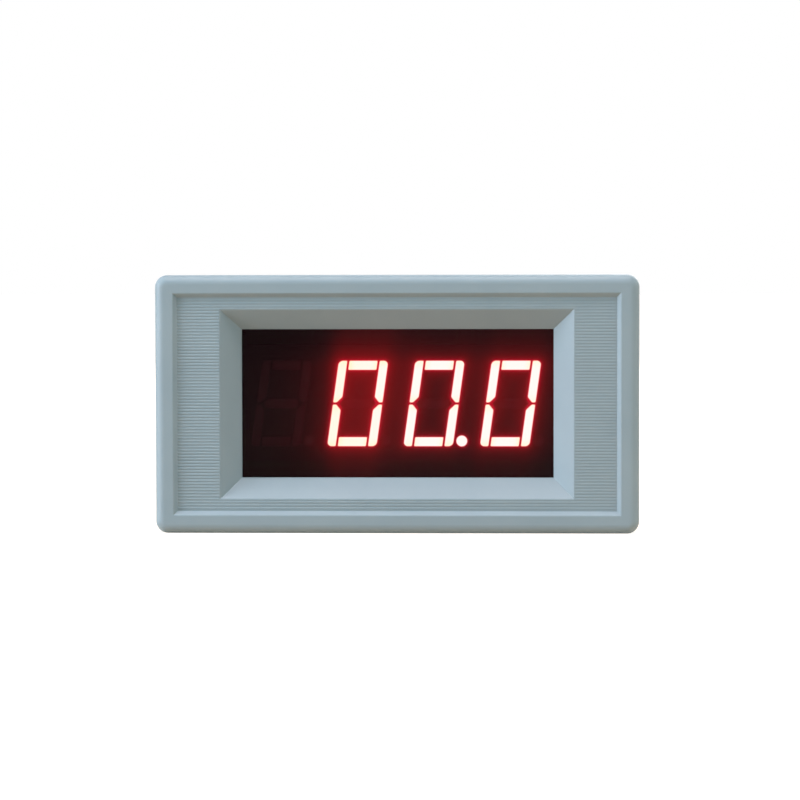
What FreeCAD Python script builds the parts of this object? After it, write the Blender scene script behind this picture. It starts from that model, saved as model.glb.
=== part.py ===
"""Digital panel meter with a row of four seven-segment digits.

The front faces -Y, the width runs along X and the height along Z, all in millimetres.
The origin is on the meter's axis, in the plane where the back of the bezel meets the
cabinet's front panel. The bezel lies in front of that plane and the body goes through it.

From front to back: bezel with a ribbed field and a bevelled window, smoked lens, digit
modules on the display board, main board with its parts, rear cover. A barrier terminal
strip stands on the main board and comes out through the rear cover.
"""

import FreeCAD
import Part
import math
import os

from FreeCAD import Vector

# Digit modules, which stand side by side
digit_count = 4
digit_width = 12.6
digit_height = 19.0
digit_depth = 8.0
digit_wall = 0.8
light_pipe_length = 3.2
digit_pin_side = 0.5
digit_pin_pitch = 2.54
digit_pin_row_inset = 1.88
digit_pin_embedded = 1.5

# Seven-segment character on each module's front
character_height = 14.2
character_margin = 2.175
character_shift_x = -0.36
character_shift_z = -0.1
character_slant_deg = 8.0
upright_bar_width = 1.5
level_bar_width = 1.6
bar_gap = 0.25
bar_tip_flat = 0.65
bar_corner_radius = 0.75
point_radius = 0.95
point_offset = 0.44
point_rise = 0.92

# Bezel, window and lens
bezel_depth = 7.5
step_depth = 0.8
step_run = 0.65
rim_width = 3.0
rim_edge_radius = 0.3
bezel_corner_radius = 2.0
bezel_edge_radius = 1.5
front_wall = 2.0
side_margin = 12.8
top_margin = 10.0
flange_overlap_x = 1.5
flange_overlap_z = 1.6
rib_pitch = 0.5
rib_width = 0.38
rib_height = 0.07
window_margin_x = 0.4
window_margin_z = 2.7
funnel_run = 3.25
funnel_depth = 3.2
funnel_break_run = 0.2
funnel_break_depth = 0.08
sill_thickness = 0.8
lens_thickness = 1.5
lens_overlap = 1.8
lens_corner_radius = 0.5
lens_clearance = 0.1
lens_gap = 0.3
lens_frame_wall = 1.5
lens_lug_length = 6.0
lens_lug_spacing = 14.0
lens_lug_height = 0.9
lens_lug_land = 0.3
lens_lug_bite = 0.5

# Body that goes through the panel cut-out
cutout_clearance = 0.25
body_wall = 1.8
body_corner_radius = 1.5
inner_corner_radius = 0.4
post_radius = 3.0
post_inset = 3.6
gusset_thickness = 1.2
gusset_shortfall = 4.0
board_rib_width = 1.5
board_rib_height = 1.5
board_rib_spacing = 44.0

# Spring arm with a tooth in each side wall, which holds the meter in its panel
arm_height = 12.0
arm_thickness = 1.3
arm_front = 2.0
arm_length = 15.0
arm_slot = 1.0
arm_room = 2.2
tooth_height = 8.0
tooth_bite = 1.2
tooth_grip = 0.2
tooth_rise = 1.0
tooth_land = 0.6
tooth_ramp = 5.5

# Boards and the two pin headers that join them
board_thickness = 1.6
board_clearance = 0.3
board_spacing = 7.8
lead_tail = 1.2
header_pitch = 2.54
header_pin_side = 0.64
header_height = 2.5
header_offset = 5.37
header_end_clearance = 0.5

# Room between the header pins and the ends of the row of parts on the main board
row_end_clearance = 0.6

# Converter chip in a flat square package, on the back of the main board
chip_side = 10.0
chip_height = 2.0
chip_standoff = 0.15
chip_draft = 0.25
chip_mark_radius = 0.6
chip_mark_depth = 0.15
chip_mark_inset = 1.4
chip_leads_per_side = 11
chip_lead_pitch = 0.8
chip_lead_width = 0.35
chip_lead_thickness = 0.15
chip_lead_reach = 1.6
chip_foot_length = 0.8

# Capacitors, resistors and regulator on the back of the main board
small_lead_side = 0.45
film_length = 7.2
film_height = 6.5
film_thicknesses = (2.5, 3.0, 3.5)
film_gap = 0.9
film_edge_radius = 0.3
film_lead_pitch = 5.08
can_count = 2
can_radius = 2.5
can_height = 6.8
can_lift = 0.3
can_groove_height = 1.2
can_groove_radius = 0.35
can_edge_radius = 0.4
can_lead_pitch = 2.0
can_spacing = 6.2
resistor_count = 6
resistor_pitch = 2.7
resistor_length = 6.2
resistor_radius = 1.15
resistor_waist_radius = 0.95
resistor_end_length = 1.4
resistor_lead_radius = 0.28
resistor_lead_span = 10.16
resistor_bend_radius = 0.7
resistor_lift = 0.15
regulator_radius = 2.3
regulator_flat = 1.2
regulator_height = 4.6
regulator_lift = 1.6
regulator_lead_pitch = 1.27
disc_radius = 2.5
disc_thickness = 2.0
disc_edge_radius = 0.7
disc_lift = 0.6
disc_lead_pitch = 2.54

# Trimmer that sets the reading
trimmer_side = 6.6
trimmer_height = 4.8
trimmer_edge_radius = 0.35
rotor_radius = 1.8
rotor_height = 0.9
rotor_proud = 0.2
rotor_clearance = 0.08
rotor_stem_radius = 1.0
rotor_stem_length = 1.6
rotor_slot_width = 0.6
rotor_slot_depth = 0.6
trimmer_lead_pitch = 2.54

# Terminal strip with its contacts, washers and clamp screws
pole_count = 5
pole_pitch = 8.25
strip_width = 12.4
strip_above_floor = 0.85
barrier_thickness = 1.5
barrier_height = 6.5
barrier_corner_radius = 2.0
strip_wall_thickness = 1.4
strip_wall_height = 3.6
contact_proud = 0.5
contact_thickness = 1.0
contact_width = 6.2
contact_length = 8.6
contact_tail_width = 1.0
contact_tail_thickness = 0.8
contact_hole_clearance = 0.05
washer_side = 6.0
washer_thickness = 0.8
washer_corner_radius = 0.5
washer_hole_clearance = 0.15
clamp_screw_radius = 1.45
clamp_screw_length = 6.0
clamp_head_radius = 2.7
clamp_head_height = 2.0
clamp_head_edge_radius = 0.7
well_clearance = 0.45
well_spare = 0.8

# Cross recess in every screw head
recess_width = 0.8
recess_length = 3.0
recess_floor_length = 1.5
recess_depth = 1.0

# Chamfer on every screw's tip
screw_tip_chamfer = 0.4

# Rear cover and the self-tapping screws that clamp it and the main board to the posts
cover_thickness = 1.8
cover_edge_radius = 0.8
cover_lip_depth = 2.2
cover_lip_thickness = 1.2
cover_lip_clearance = 0.1
cover_part_clearance = 0.5
sleeve_clearance = 0.1
strip_window_clearance = 0.3
driver_hole_radius = 2.2
vent_count = 9
vent_x = -4.0
vent_width = 1.5
vent_pitch = 4.0
vent_length = 10.0
cover_screw_radius = 1.3
cover_screw_length = 16.0
cover_head_radius = 2.5
cover_head_height = 1.5
cover_head_edge_radius = 0.6
cover_head_clearance = 0.3
cover_head_sink = 0.1
screw_hole_clearance = 0.3
pilot_spare = 1.0
pilot_clearance = 0.02

# How far a cutting tool runs past the face that it cuts, and what counts as the same point
overrun = 1.0
same_point = 1e-4

# Widths, heights and counts that follow from the sizes above
digit_pins_per_row = int((digit_width - 2 * digit_wall - digit_pin_side) / digit_pin_pitch) + 1
digit_pin_row_spacing = digit_height - 2 * digit_pin_row_inset
character_width = digit_width - 2 * character_margin
point_x = character_width / 2 + point_offset
point_z = point_rise - character_height / 2
digit_row_width = digit_count * digit_width
window_width = digit_row_width + 2 * window_margin_x
window_height = digit_height + 2 * window_margin_z
funnel_width = window_width + 2 * funnel_run
funnel_height = window_height + 2 * funnel_run
lens_width = window_width + 2 * lens_overlap
lens_height = window_height + 2 * lens_overlap
lens_pocket_width = lens_width + 2 * lens_clearance
lens_pocket_height = lens_height + 2 * lens_clearance
cutout_width = digit_row_width + 2 * side_margin
cutout_height = digit_height + 2 * top_margin
bezel_width = cutout_width + 2 * flange_overlap_x
bezel_height = cutout_height + 2 * flange_overlap_z
field_width = bezel_width - 2 * rim_width
field_height = bezel_height - 2 * rim_width
field_floor_width = field_width - 2 * step_run
field_floor_height = field_height - 2 * step_run
body_width = cutout_width - 2 * cutout_clearance
body_height = cutout_height - 2 * cutout_clearance
inner_width = body_width - 2 * body_wall
inner_height = body_height - 2 * body_wall
board_height = inner_height - 2 * board_clearance
post_x = inner_width / 2 - post_inset
post_z = inner_height / 2 - post_inset
header_x = digit_row_width / 2 + header_offset
header_pins_per_row = int(2 * (post_z - post_radius - header_end_clearance) / header_pitch)

# Depths, from the front backwards
front_y = -bezel_depth
field_y = front_y + step_depth
cavity_y = field_y + front_wall
sill_y = field_y + funnel_depth
lens_y = sill_y + sill_thickness
lens_back_y = lens_y + lens_thickness
lens_frame_y = lens_back_y + lens_lug_height
digit_y = lens_back_y + lens_gap
display_board_y = digit_y + digit_depth
display_board_back_y = display_board_y + board_thickness
main_board_y = display_board_back_y + board_spacing
main_board_back_y = main_board_y + board_thickness
lead_end_y = main_board_y - lead_tail
cover_y = main_board_back_y + max(film_height, can_lift + can_height) + cover_part_clearance
cover_back_y = cover_y + cover_thickness
contact_back_y = cover_back_y + contact_proud
strip_seat_y = contact_back_y - contact_thickness
strip_back_y = strip_seat_y + barrier_height
washer_back_y = contact_back_y + washer_thickness
cover_head_seat_y = cover_back_y - cover_head_sink - cover_head_height

# Places on the main board: the strip lies along its bottom, and the parts share the room above it
strip_length = pole_count * pole_pitch + barrier_thickness
strip_low_z = -inner_height / 2 + strip_above_floor
strip_high_z = strip_low_z + strip_width
clamp_z = (strip_low_z + strip_high_z - strip_wall_thickness) / 2
lip_inside_z = inner_height / 2 - cover_lip_clearance - cover_lip_thickness
parts_z = (strip_high_z + lip_inside_z) / 2

# The row of parts, from the left: film capacitors, resistors, chip, cans, trimmer. The four gaps
# between the five groups are even
row_end_x = header_x - header_pitch / 2 - header_pin_side / 2 - row_end_clearance
resistor_row_width = (resistor_count - 1) * resistor_pitch + 2 * resistor_radius
chip_span = chip_side + 2 * chip_lead_reach
row_parts_width = film_length + resistor_row_width + chip_span + 2 * can_radius + trimmer_side
row_gap = (2 * row_end_x - row_parts_width) / 4
film_x = film_length / 2 - row_end_x
resistor_row_x = film_x + (film_length + resistor_row_width) / 2 + row_gap
chip_x = resistor_row_x + (resistor_row_width + chip_span) / 2 + row_gap
can_x = chip_x + chip_span / 2 + row_gap + can_radius
trimmer_x = row_end_x - trimmer_side / 2

# The disc capacitor stands above the resistors and the regulator above the trimmer
resistor_top_z = parts_z + resistor_lead_span / 2 + resistor_lead_radius
disc_z = (resistor_top_z + lip_inside_z) / 2
regulator_z = (parts_z + trimmer_side / 2 + lip_inside_z - regulator_radius + regulator_flat) / 2


def around(middle, size):
    """Low and high value of a size laid evenly about its middle."""
    return (middle - size / 2, middle + size / 2)


def block(x, y, z):
    """Block between the low and high value given for each axis."""
    return Part.makeBox(x[1] - x[0], y[1] - y[0], z[1] - z[0], Vector(x[0], y[0], z[0]))


def rod(x, z, radius, y):
    """Round bar along the depth."""
    return Part.makeCylinder(radius, y[1] - y[0], Vector(x, y[0], z), Vector(0, 1, 0))


def polygon(corners):
    """Flat face inside a closed row of corners."""
    return Part.Face(Part.makePolygon([*corners, corners[0]]))


def frustum(front_size, front, back_size, back):
    """Flat-sided solid between two rectangles on the axis, each given as width and height."""
    rings = []
    for (width, height), y in ((front_size, front), (back_size, back)):
        half_x = width / 2
        half_z = height / 2
        rings.append([Vector(x, y, z) for x, z in (
            (-half_x, -half_z), (half_x, -half_z), (half_x, half_z), (-half_x, half_z))])
    near, far = rings
    faces = [polygon(near), polygon(far)]
    for n in range(4):
        m = (n + 1) % 4
        faces.append(polygon([near[n], near[m], far[m], far[n]]))
    solid = Part.Solid(Part.Shell(faces))
    if solid.Volume < 0:
        solid.reverse()
    return solid


def edges_along(solid, axis):
    """Straight edges of a solid that run along an axis."""
    found = []
    for edge in solid.Edges:
        ends = edge.Vertexes
        if len(ends) == 2 and isinstance(edge.Curve, Part.Line):
            run = ends[1].Point - ends[0].Point
            if abs(abs(run.dot(axis)) - run.Length) < same_point:
                found.append(edge)
    return found


def edges_at_depth(solid, y):
    """Edges of a solid whose ends both lie at this depth."""
    return [e for e in solid.Edges if all(abs(v.Y - y) < same_point for v in e.Vertexes)]


def slab(width, height, radius, y, x=0.0, z=0.0):
    """Upright slab with rounded corners, centred on x and z."""
    solid = block(around(x, width), y, around(z, height))
    return solid.makeFillet(radius, edges_along(solid, Vector(0, 1, 0)))


def upright_slot(x, z, width, length, y):
    """Tools for a slot with round ends, centred on x and z."""
    straight = length - width
    return [block(around(x, width), y, around(z, straight)),
            rod(x, z - straight / 2, width / 2, y), rod(x, z + straight / 2, width / 2, y)]


def mirrored_x(shape):
    """The same shape on the other side of the middle."""
    return shape.mirror(Vector(0, 0, 0), Vector(1, 0, 0))


def on_corners(x, z):
    """The four points that lie at plus and minus x and z."""
    return [(sign_x * x, sign_z * z) for sign_x in (-1, 1) for sign_z in (-1, 1)]


def ribbed_pocket():
    """Tool that sinks the field behind the rim. Its sides slope, and its scalloped floor leaves ribs."""
    rib_count = int(field_floor_height / rib_pitch)
    first_z = -(rib_count - 1) * rib_pitch / 2
    end_z = field_height / 2 + overrun
    low = Vector(0, front_y - overrun, -end_z)
    high = Vector(0, front_y - overrun, end_z)
    reached = Vector(0, field_y, -end_z)
    outline = [Part.LineSegment(low, reached)]
    for n in range(rib_count):
        z = first_z + n * rib_pitch
        foot = Vector(0, field_y, z - rib_width / 2)
        crest = Vector(0, field_y - rib_height, z)
        far_foot = Vector(0, field_y, z + rib_width / 2)
        outline.append(Part.LineSegment(reached, foot))
        outline.append(Part.Arc(foot, crest, far_foot))
        reached = far_foot
    top = Vector(0, field_y, end_z)
    outline += [Part.LineSegment(reached, top), Part.LineSegment(top, high), Part.LineSegment(high, low)]
    face = Part.Face(Part.Wire([curve.toShape() for curve in outline]))
    end_x = field_width / 2 + overrun
    ribbed = face.extrude(Vector(2 * end_x, 0, 0))
    ribbed.translate(Vector(-end_x, 0, 0))
    spread = 2 * overrun * step_run / step_depth
    sloped = frustum((field_width + spread, field_height + spread), front_y - overrun,
                     (field_floor_width, field_floor_height), field_y)
    return ribbed.common(sloped)


def funnel():
    """Tool for the bevelled opening, with a shallow break where it meets the ribs."""
    slope = funnel_run / funnel_depth
    spread = 2 * step_depth * slope
    bevel = frustum((funnel_width + spread, funnel_height + spread), field_y - step_depth,
                    (window_width, window_height), sill_y)
    grown = 2 * funnel_break_run
    shrunk = 2 * funnel_break_depth * slope
    edge_break = frustum((funnel_width + grown, funnel_height + grown), field_y - rib_height,
                         (funnel_width - shrunk, funnel_height - shrunk), field_y + funnel_break_depth)
    window = block(around(0, window_width), (sill_y - same_point, lens_y + overrun),
                   around(0, window_height))
    return [bevel, edge_break, window]


def lens_lug(z):
    """Snap lug on the lens frame's right side, which keeps the lens against its sill."""
    wall_x = lens_pocket_width / 2
    profile = [(wall_x, lens_back_y), (wall_x - lens_lug_bite, lens_back_y),
               (wall_x - lens_lug_bite, lens_back_y + lens_lug_land), (wall_x, lens_frame_y)]
    low_z, high_z = around(z, lens_lug_length)
    face = polygon([Vector(x, y, low_z) for x, y in profile])
    return face.extrude(Vector(0, 0, high_z - low_z))


def gussets(x, z):
    """Two webs that tie the post at x, z to the nearest side wall and the nearest long wall."""
    depth = (cavity_y, main_board_y - gusset_shortfall)
    wall_x = math.copysign(inner_width / 2 + board_clearance, x)
    wall_z = math.copysign(inner_height / 2 + board_clearance, z)
    return [block(sorted((x, wall_x)), depth, around(z, gusset_thickness)),
            block(around(x, gusset_thickness), depth, sorted((z, wall_z)))]


def arm_slots():
    """Tools for the right side wall: a U-shaped slot round the arm, and its thinner inside."""
    wall = (inner_width / 2 - same_point, body_width / 2 + overrun)
    arm_end = arm_front + arm_length
    slot_run = (arm_front - arm_slot, arm_end)
    slot_z = (arm_height + arm_slot) / 2
    thinned = (inner_width / 2 - same_point, body_width / 2 - arm_thickness)
    return [block(wall, slot_run, around(slot_z, arm_slot)),
            block(wall, slot_run, around(-slot_z, arm_slot)),
            block(wall, (arm_front - arm_slot, arm_front), around(0, arm_height + 2 * arm_slot)),
            block(thinned, (arm_front, arm_end), around(0, arm_height))]


def arm_tooth():
    """Tooth on the right arm, steep towards the bezel and with a long ramp towards the back."""
    wall_x = body_width / 2
    tip_x = cutout_width / 2 + tooth_bite
    grip_y = arm_front + tooth_grip
    profile = [(wall_x - arm_thickness / 2, grip_y), (wall_x, grip_y), (tip_x, grip_y + tooth_rise),
               (tip_x, grip_y + tooth_rise + tooth_land),
               (wall_x, grip_y + tooth_rise + tooth_land + tooth_ramp),
               (wall_x - arm_thickness / 2, grip_y + tooth_rise + tooth_land + tooth_ramp)]
    low_z, high_z = around(0, tooth_height)
    face = polygon([Vector(x, y, low_z) for x, y in profile])
    return face.extrude(Vector(0, 0, high_z - low_z))


def front_housing():
    """Bezel and body, moulded in one piece and open at the back."""
    bezel = block(around(0, bezel_width), (front_y, 0), around(0, bezel_height))
    bezel = bezel.makeFillet(bezel_corner_radius, edges_along(bezel, Vector(0, 1, 0)))
    bezel = bezel.makeFillet(bezel_edge_radius, edges_at_depth(bezel, front_y))
    body = slab(body_width, body_height, body_corner_radius, (cavity_y, cover_y))
    cavity = slab(inner_width, inner_height, inner_corner_radius, (cavity_y, cover_y + overrun))
    shell = bezel.fuse(body).cut(cavity)

    added = [block(around(0, lens_pocket_width + 2 * lens_frame_wall), (cavity_y, lens_frame_y),
                   around(0, lens_pocket_height + 2 * lens_frame_wall))]
    for x, z in on_corners(post_x, post_z):
        added.append(rod(x, z, post_radius, (cavity_y, main_board_y)))
        added += gussets(x, z)
    rib_z = (inner_height - board_rib_height) / 2
    for x, z in on_corners(board_rib_spacing / 2, rib_z):
        added.append(block(around(x, board_rib_width), (cavity_y, display_board_y),
                           around(z, board_rib_height)))
    shell = shell.fuse(added)

    tools = [ribbed_pocket(), *funnel()]
    tools.append(block(around(0, lens_pocket_width), (lens_y, lens_frame_y + overrun),
                       around(0, lens_pocket_height)))
    pilot_y = cover_head_seat_y - cover_screw_length - pilot_spare
    for x, z in on_corners(post_x, post_z):
        tools.append(rod(x, z, cover_screw_radius + pilot_clearance, (pilot_y, main_board_y + overrun)))
    for tool in arm_slots():
        tools += [tool, mirrored_x(tool)]
    shell = shell.cut(tools)

    added = [arm_tooth()]
    for z in (-lens_lug_spacing / 2, lens_lug_spacing / 2):
        added.append(lens_lug(z))
    shell = shell.fuse(added + [mirrored_x(piece) for piece in added])

    mouth = [e for e in edges_at_depth(shell, front_y)
             if all(abs(v.X) < field_width / 2 + same_point for v in e.Vertexes)
             and all(abs(v.Z) < field_height / 2 + same_point for v in e.Vertexes)]
    return shell.makeFillet(rim_edge_radius, mouth)


def window_lens():
    """Flat smoked lens behind the window."""
    return slab(lens_width, lens_height, lens_corner_radius, (lens_y, lens_back_y))


def upright_bar(side, level):
    """Outline of an upright bar in character units; side is -1 or 1, level is 1 for upper."""
    outer = character_width / 2
    inner = outer - upright_bar_width
    top = character_height / 2
    corners = [(outer, bar_gap / 2), (outer - bar_tip_flat, bar_gap / 2),
               (inner, level_bar_width / 2 + bar_gap), (inner, top), (outer, top)]
    return [(side * across, level * up) for across, up in corners]


def level_bar(level):
    """Outline of the top or bottom bar in character units."""
    half = character_width / 2 - upright_bar_width - bar_gap
    top = character_height / 2
    return [(across, level * up) for across, up in (
        (-half, top - level_bar_width), (half, top - level_bar_width), (half, top), (-half, top))]


def middle_bar():
    """Outline of the pointed middle bar in character units."""
    tip = character_width / 2 - bar_tip_flat - 2 * bar_gap
    shoulder = character_width / 2 - upright_bar_width - bar_gap
    half = level_bar_width / 2
    return [(-tip, 0), (-shoulder, half), (shoulder, half), (tip, 0), (shoulder, -half), (-shoulder, -half)]


def digit_middle_x(n):
    """Middle of digit module n, counted from the left."""
    return (n + 0.5) * digit_width - digit_row_width / 2


def slanted(n, across, up):
    """X and Z on module n of a point in character units."""
    lean = math.tan(math.radians(character_slant_deg))
    return (digit_middle_x(n) + character_shift_x + across + up * lean, character_shift_z + up)


def light_pipe(n, outline, depth):
    """Bar of module n between two depths."""
    face = polygon([Vector(x, depth[0], z) for x, z in (slanted(n, *corner) for corner in outline)])
    return face.extrude(Vector(0, depth[1] - depth[0], 0))


def light_pipes(n, depth):
    """The seven bars and the decimal point of module n between two depths."""
    pipes = [light_pipe(n, level_bar(1), depth), light_pipe(n, level_bar(-1), depth),
             light_pipe(n, middle_bar(), depth)]
    for side, level in on_corners(1, 1):
        bar = light_pipe(n, upright_bar(side, level), depth)
        x, z = slanted(n, side * character_width / 2, level * character_height / 2)
        corner = [e for e in edges_along(bar, Vector(0, 1, 0))
                  if abs(e.Vertexes[0].X - x) < same_point and abs(e.Vertexes[0].Z - z) < same_point]
        pipes.append(bar.makeFillet(bar_corner_radius, corner))
    middle = digit_middle_x(n) + character_shift_x
    pipes.append(rod(middle + point_x, character_shift_z + point_z, point_radius, depth))
    return pipes


def digit_pins(n):
    """Two rows of pins of module n, through the display board."""
    depth = (display_board_y - digit_pin_embedded, display_board_back_y + lead_tail)
    first_x = digit_middle_x(n) - (digit_pins_per_row - 1) * digit_pin_pitch / 2
    return [block(around(first_x + m * digit_pin_pitch, digit_pin_side), depth,
                  around(sign * digit_pin_row_spacing / 2, digit_pin_side))
            for sign in (-1, 1) for m in range(digit_pins_per_row)]


def digit_cavity(n, depth):
    """Space inside the shell of module n, behind its front."""
    return block(around(digit_middle_x(n), digit_width - 2 * digit_wall), depth,
                 around(0, digit_height - 2 * digit_wall))


def digit_shell(n):
    """Moulded shell of module n, with a window for each bar."""
    shell = block(around(digit_middle_x(n), digit_width), (digit_y, display_board_y), around(0, digit_height))
    hollow_y = digit_y + light_pipe_length
    return shell.cut([digit_cavity(n, (hollow_y, display_board_y + overrun)),
                      *light_pipes(n, (digit_y, hollow_y))])


def digit_filling(n):
    """Clear resin cast into the shell of module n: it fills the windows and holds the pins."""
    hollow_y = digit_y + light_pipe_length
    filling = digit_cavity(n, (hollow_y, display_board_y))
    filling = filling.fuse(light_pipes(n, (digit_y, hollow_y)))
    return filling.cut(digit_pins(n))


def header_pins(side):
    """Pins of the left or right header, soldered into both boards."""
    depth = (display_board_y - lead_tail, main_board_back_y + lead_tail)
    first_z = -(header_pins_per_row - 1) * header_pitch / 2
    return [block(around(side * header_x + row * header_pitch / 2, header_pin_side), depth,
                  around(first_z + m * header_pitch, header_pin_side))
            for row in (-1, 1) for m in range(header_pins_per_row)]


def header(side):
    """Moulded strip that holds the header's pins at their pitch."""
    depth = (display_board_back_y, display_board_back_y + header_height)
    strip = block(around(side * header_x, 2 * header_pitch), depth,
                  around(0, header_pins_per_row * header_pitch))
    return strip.cut(header_pins(side))


def display_board():
    """Board behind the digits, notched at its corners round the posts."""
    depth = (display_board_y, display_board_back_y)
    half_width = inner_width / 2 - arm_room - board_clearance
    board = block((-half_width, half_width), depth, around(0, board_height))
    notch_x = post_x - post_radius - board_clearance
    notch_z = post_z - post_radius - board_clearance
    tools = []
    for sign_x, sign_z in on_corners(1, 1):
        tools.append(block(sorted((sign_x * notch_x, sign_x * inner_width / 2)), depth,
                           sorted((sign_z * notch_z, sign_z * inner_height / 2))))
    for n in range(digit_count):
        tools += digit_pins(n)
    for side in (-1, 1):
        tools += header_pins(side)
    return board.cut(tools)


def main_board(parts):
    """Board on the posts, with a hole for each lead of the parts on it and for each screw."""
    board = block(around(0, inner_width - 2 * board_clearance), (main_board_y, main_board_back_y),
                  around(0, board_height))
    depth = (main_board_y - overrun, main_board_back_y + overrun)
    holes = [rod(x, z, cover_screw_radius + screw_hole_clearance, depth)
             for x, z in on_corners(post_x, post_z)]
    for side in (-1, 1):
        holes += header_pins(side)
    return board.cut(holes).cut(parts)


def chip_body():
    """Square package with sides that taper both ways from its parting line, and a pin one mark."""
    low_y = main_board_back_y + chip_standoff
    high_y = low_y + chip_height
    middle_y = (low_y + high_y) / 2
    small = (chip_side - 2 * chip_draft,) * 2
    large = (chip_side,) * 2
    body = frustum(small, low_y, large, middle_y).fuse(frustum(large, middle_y, small, high_y))
    mark = chip_side / 2 - chip_mark_inset
    body = body.cut(rod(-mark, mark, chip_mark_radius, (high_y - chip_mark_depth, high_y + overrun)))
    body.translate(Vector(chip_x, 0, parts_z))
    return body


def chip_leads():
    """Gull-wing leads on the four sides of the package."""
    foot_y = main_board_back_y
    shoulder_y = main_board_back_y + chip_standoff + chip_height / 2
    root = chip_side / 2
    knee = root + chip_lead_reach - chip_foot_length
    toe = root + chip_lead_reach
    half = chip_lead_thickness / 2
    profile = [(root, shoulder_y + half), (knee - half, shoulder_y + half),
               (knee + half, foot_y + chip_lead_thickness), (toe, foot_y + chip_lead_thickness),
               (toe, foot_y), (knee - half, foot_y), (knee - chip_lead_thickness - half, shoulder_y - half),
               (root, shoulder_y - half)]
    lead = polygon([Vector(x, y, -chip_lead_width / 2) for x, y in profile])
    lead = lead.extrude(Vector(0, 0, chip_lead_width))
    first = -(chip_leads_per_side - 1) * chip_lead_pitch / 2
    leads = []
    for quarter in range(4):
        for m in range(chip_leads_per_side):
            copy = lead.translated(Vector(0, 0, first + m * chip_lead_pitch))
            copy.rotate(Vector(0, 0, 0), Vector(0, 1, 0), 90 * quarter)
            leads.append(copy.translated(Vector(chip_x, 0, parts_z)))
    return Part.makeCompound(leads)


def small_leads(x, z, pitch, count, top_y):
    """Row of square leads along X, from the front of the main board up to a depth."""
    first_x = x - (count - 1) * pitch / 2
    return [block(around(first_x + m * pitch, small_lead_side), (lead_end_y, top_y),
                  around(z, small_lead_side)) for m in range(count)]


def film_capacitor(n):
    """Boxed film capacitor n, counted upwards."""
    stack = sum(film_thicknesses) + film_gap * (len(film_thicknesses) - 1)
    low_z = parts_z - stack / 2 + sum(film_thicknesses[:n]) + film_gap * n
    thickness = film_thicknesses[n]
    top_y = main_board_back_y + film_height
    box = block(around(film_x, film_length), (main_board_back_y, top_y), (low_z, low_z + thickness))
    rounded = edges_along(box, Vector(0, 1, 0)) + edges_at_depth(box, top_y)
    box = box.makeFillet(film_edge_radius, rounded)
    return box.fuse(small_leads(film_x, low_z + thickness / 2, film_lead_pitch, 2, main_board_back_y))


def can_capacitor(n):
    """Electrolytic capacitor n: a can with a rolled groove above its rubber seal."""
    z = parts_z + (n - (can_count - 1) / 2) * can_spacing
    low_y = main_board_back_y + can_lift
    top_y = low_y + can_height
    can = rod(can_x, z, can_radius, (low_y, top_y))
    can = can.makeFillet(can_edge_radius, edges_at_depth(can, top_y))
    groove = Part.makeTorus(can_radius, can_groove_radius, Vector(can_x, low_y + can_groove_height, z),
                            Vector(0, 1, 0))
    return can.cut(groove).fuse(small_leads(can_x, z, can_lead_pitch, 2, low_y))


def resistor(n):
    """Axial resistor n, lying on the board with both leads bent down through it."""
    x = resistor_row_x + (n - (resistor_count - 1) / 2) * resistor_pitch
    axis_y = main_board_back_y + resistor_lift + resistor_radius
    half = resistor_length / 2
    waist = half - resistor_end_length
    profile = [(0, -half), (resistor_radius, -half), (resistor_radius, -waist),
               (resistor_waist_radius, -waist), (resistor_waist_radius, waist),
               (resistor_radius, waist), (resistor_radius, half), (0, half)]
    body = polygon([Vector(x, axis_y + radius, parts_z + z) for radius, z in profile])
    body = body.revolve(Vector(x, axis_y, parts_z), Vector(0, 0, 1), 360)
    leads = []
    for sign in (-1, 1):
        foot_z = parts_z + sign * resistor_lead_span / 2
        bend_z = foot_z - sign * resistor_bend_radius
        hub = Vector(x, axis_y - resistor_bend_radius, bend_z)
        half_turn = Vector(0, math.sin(math.pi / 4), sign * math.cos(math.pi / 4))
        start = Vector(x, axis_y, parts_z + sign * (half - resistor_lead_radius))
        bend_start = Vector(x, axis_y, bend_z)
        bend_end = Vector(x, axis_y - resistor_bend_radius, foot_z)
        path = Part.Wire([
            Part.LineSegment(start, bend_start).toShape(),
            Part.Arc(bend_start, hub + half_turn * resistor_bend_radius, bend_end).toShape(),
            Part.LineSegment(bend_end, Vector(x, lead_end_y, foot_z)).toShape()])
        section = Part.Wire([Part.makeCircle(resistor_lead_radius, start, Vector(0, 0, 1))])
        leads.append(path.makePipeShell([section], True, False))
    return body.fuse(leads)


def regulator():
    """Small transistor-shaped regulator with one flat side and three leads."""
    low_y = main_board_back_y + regulator_lift
    top_y = low_y + regulator_height
    body = rod(trimmer_x, regulator_z, regulator_radius, (low_y, top_y))
    body = body.cut(block(around(trimmer_x, 2 * regulator_radius), (low_y, top_y),
                          (regulator_z - regulator_radius - overrun, regulator_z - regulator_flat)))
    return body.fuse(small_leads(trimmer_x, regulator_z, regulator_lead_pitch, 3, low_y))


def disc_capacitor():
    """Ceramic disc capacitor standing on two leads."""
    middle_y = main_board_back_y + disc_lift + disc_radius
    disc = Part.makeCylinder(disc_radius, disc_thickness,
                             Vector(resistor_row_x, middle_y, disc_z - disc_thickness / 2), Vector(0, 0, 1))
    disc = disc.makeFillet(disc_edge_radius, [e for e in disc.Edges if isinstance(e.Curve, Part.Circle)])
    return disc.fuse(small_leads(resistor_row_x, disc_z, disc_lead_pitch, 2, middle_y))


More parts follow.
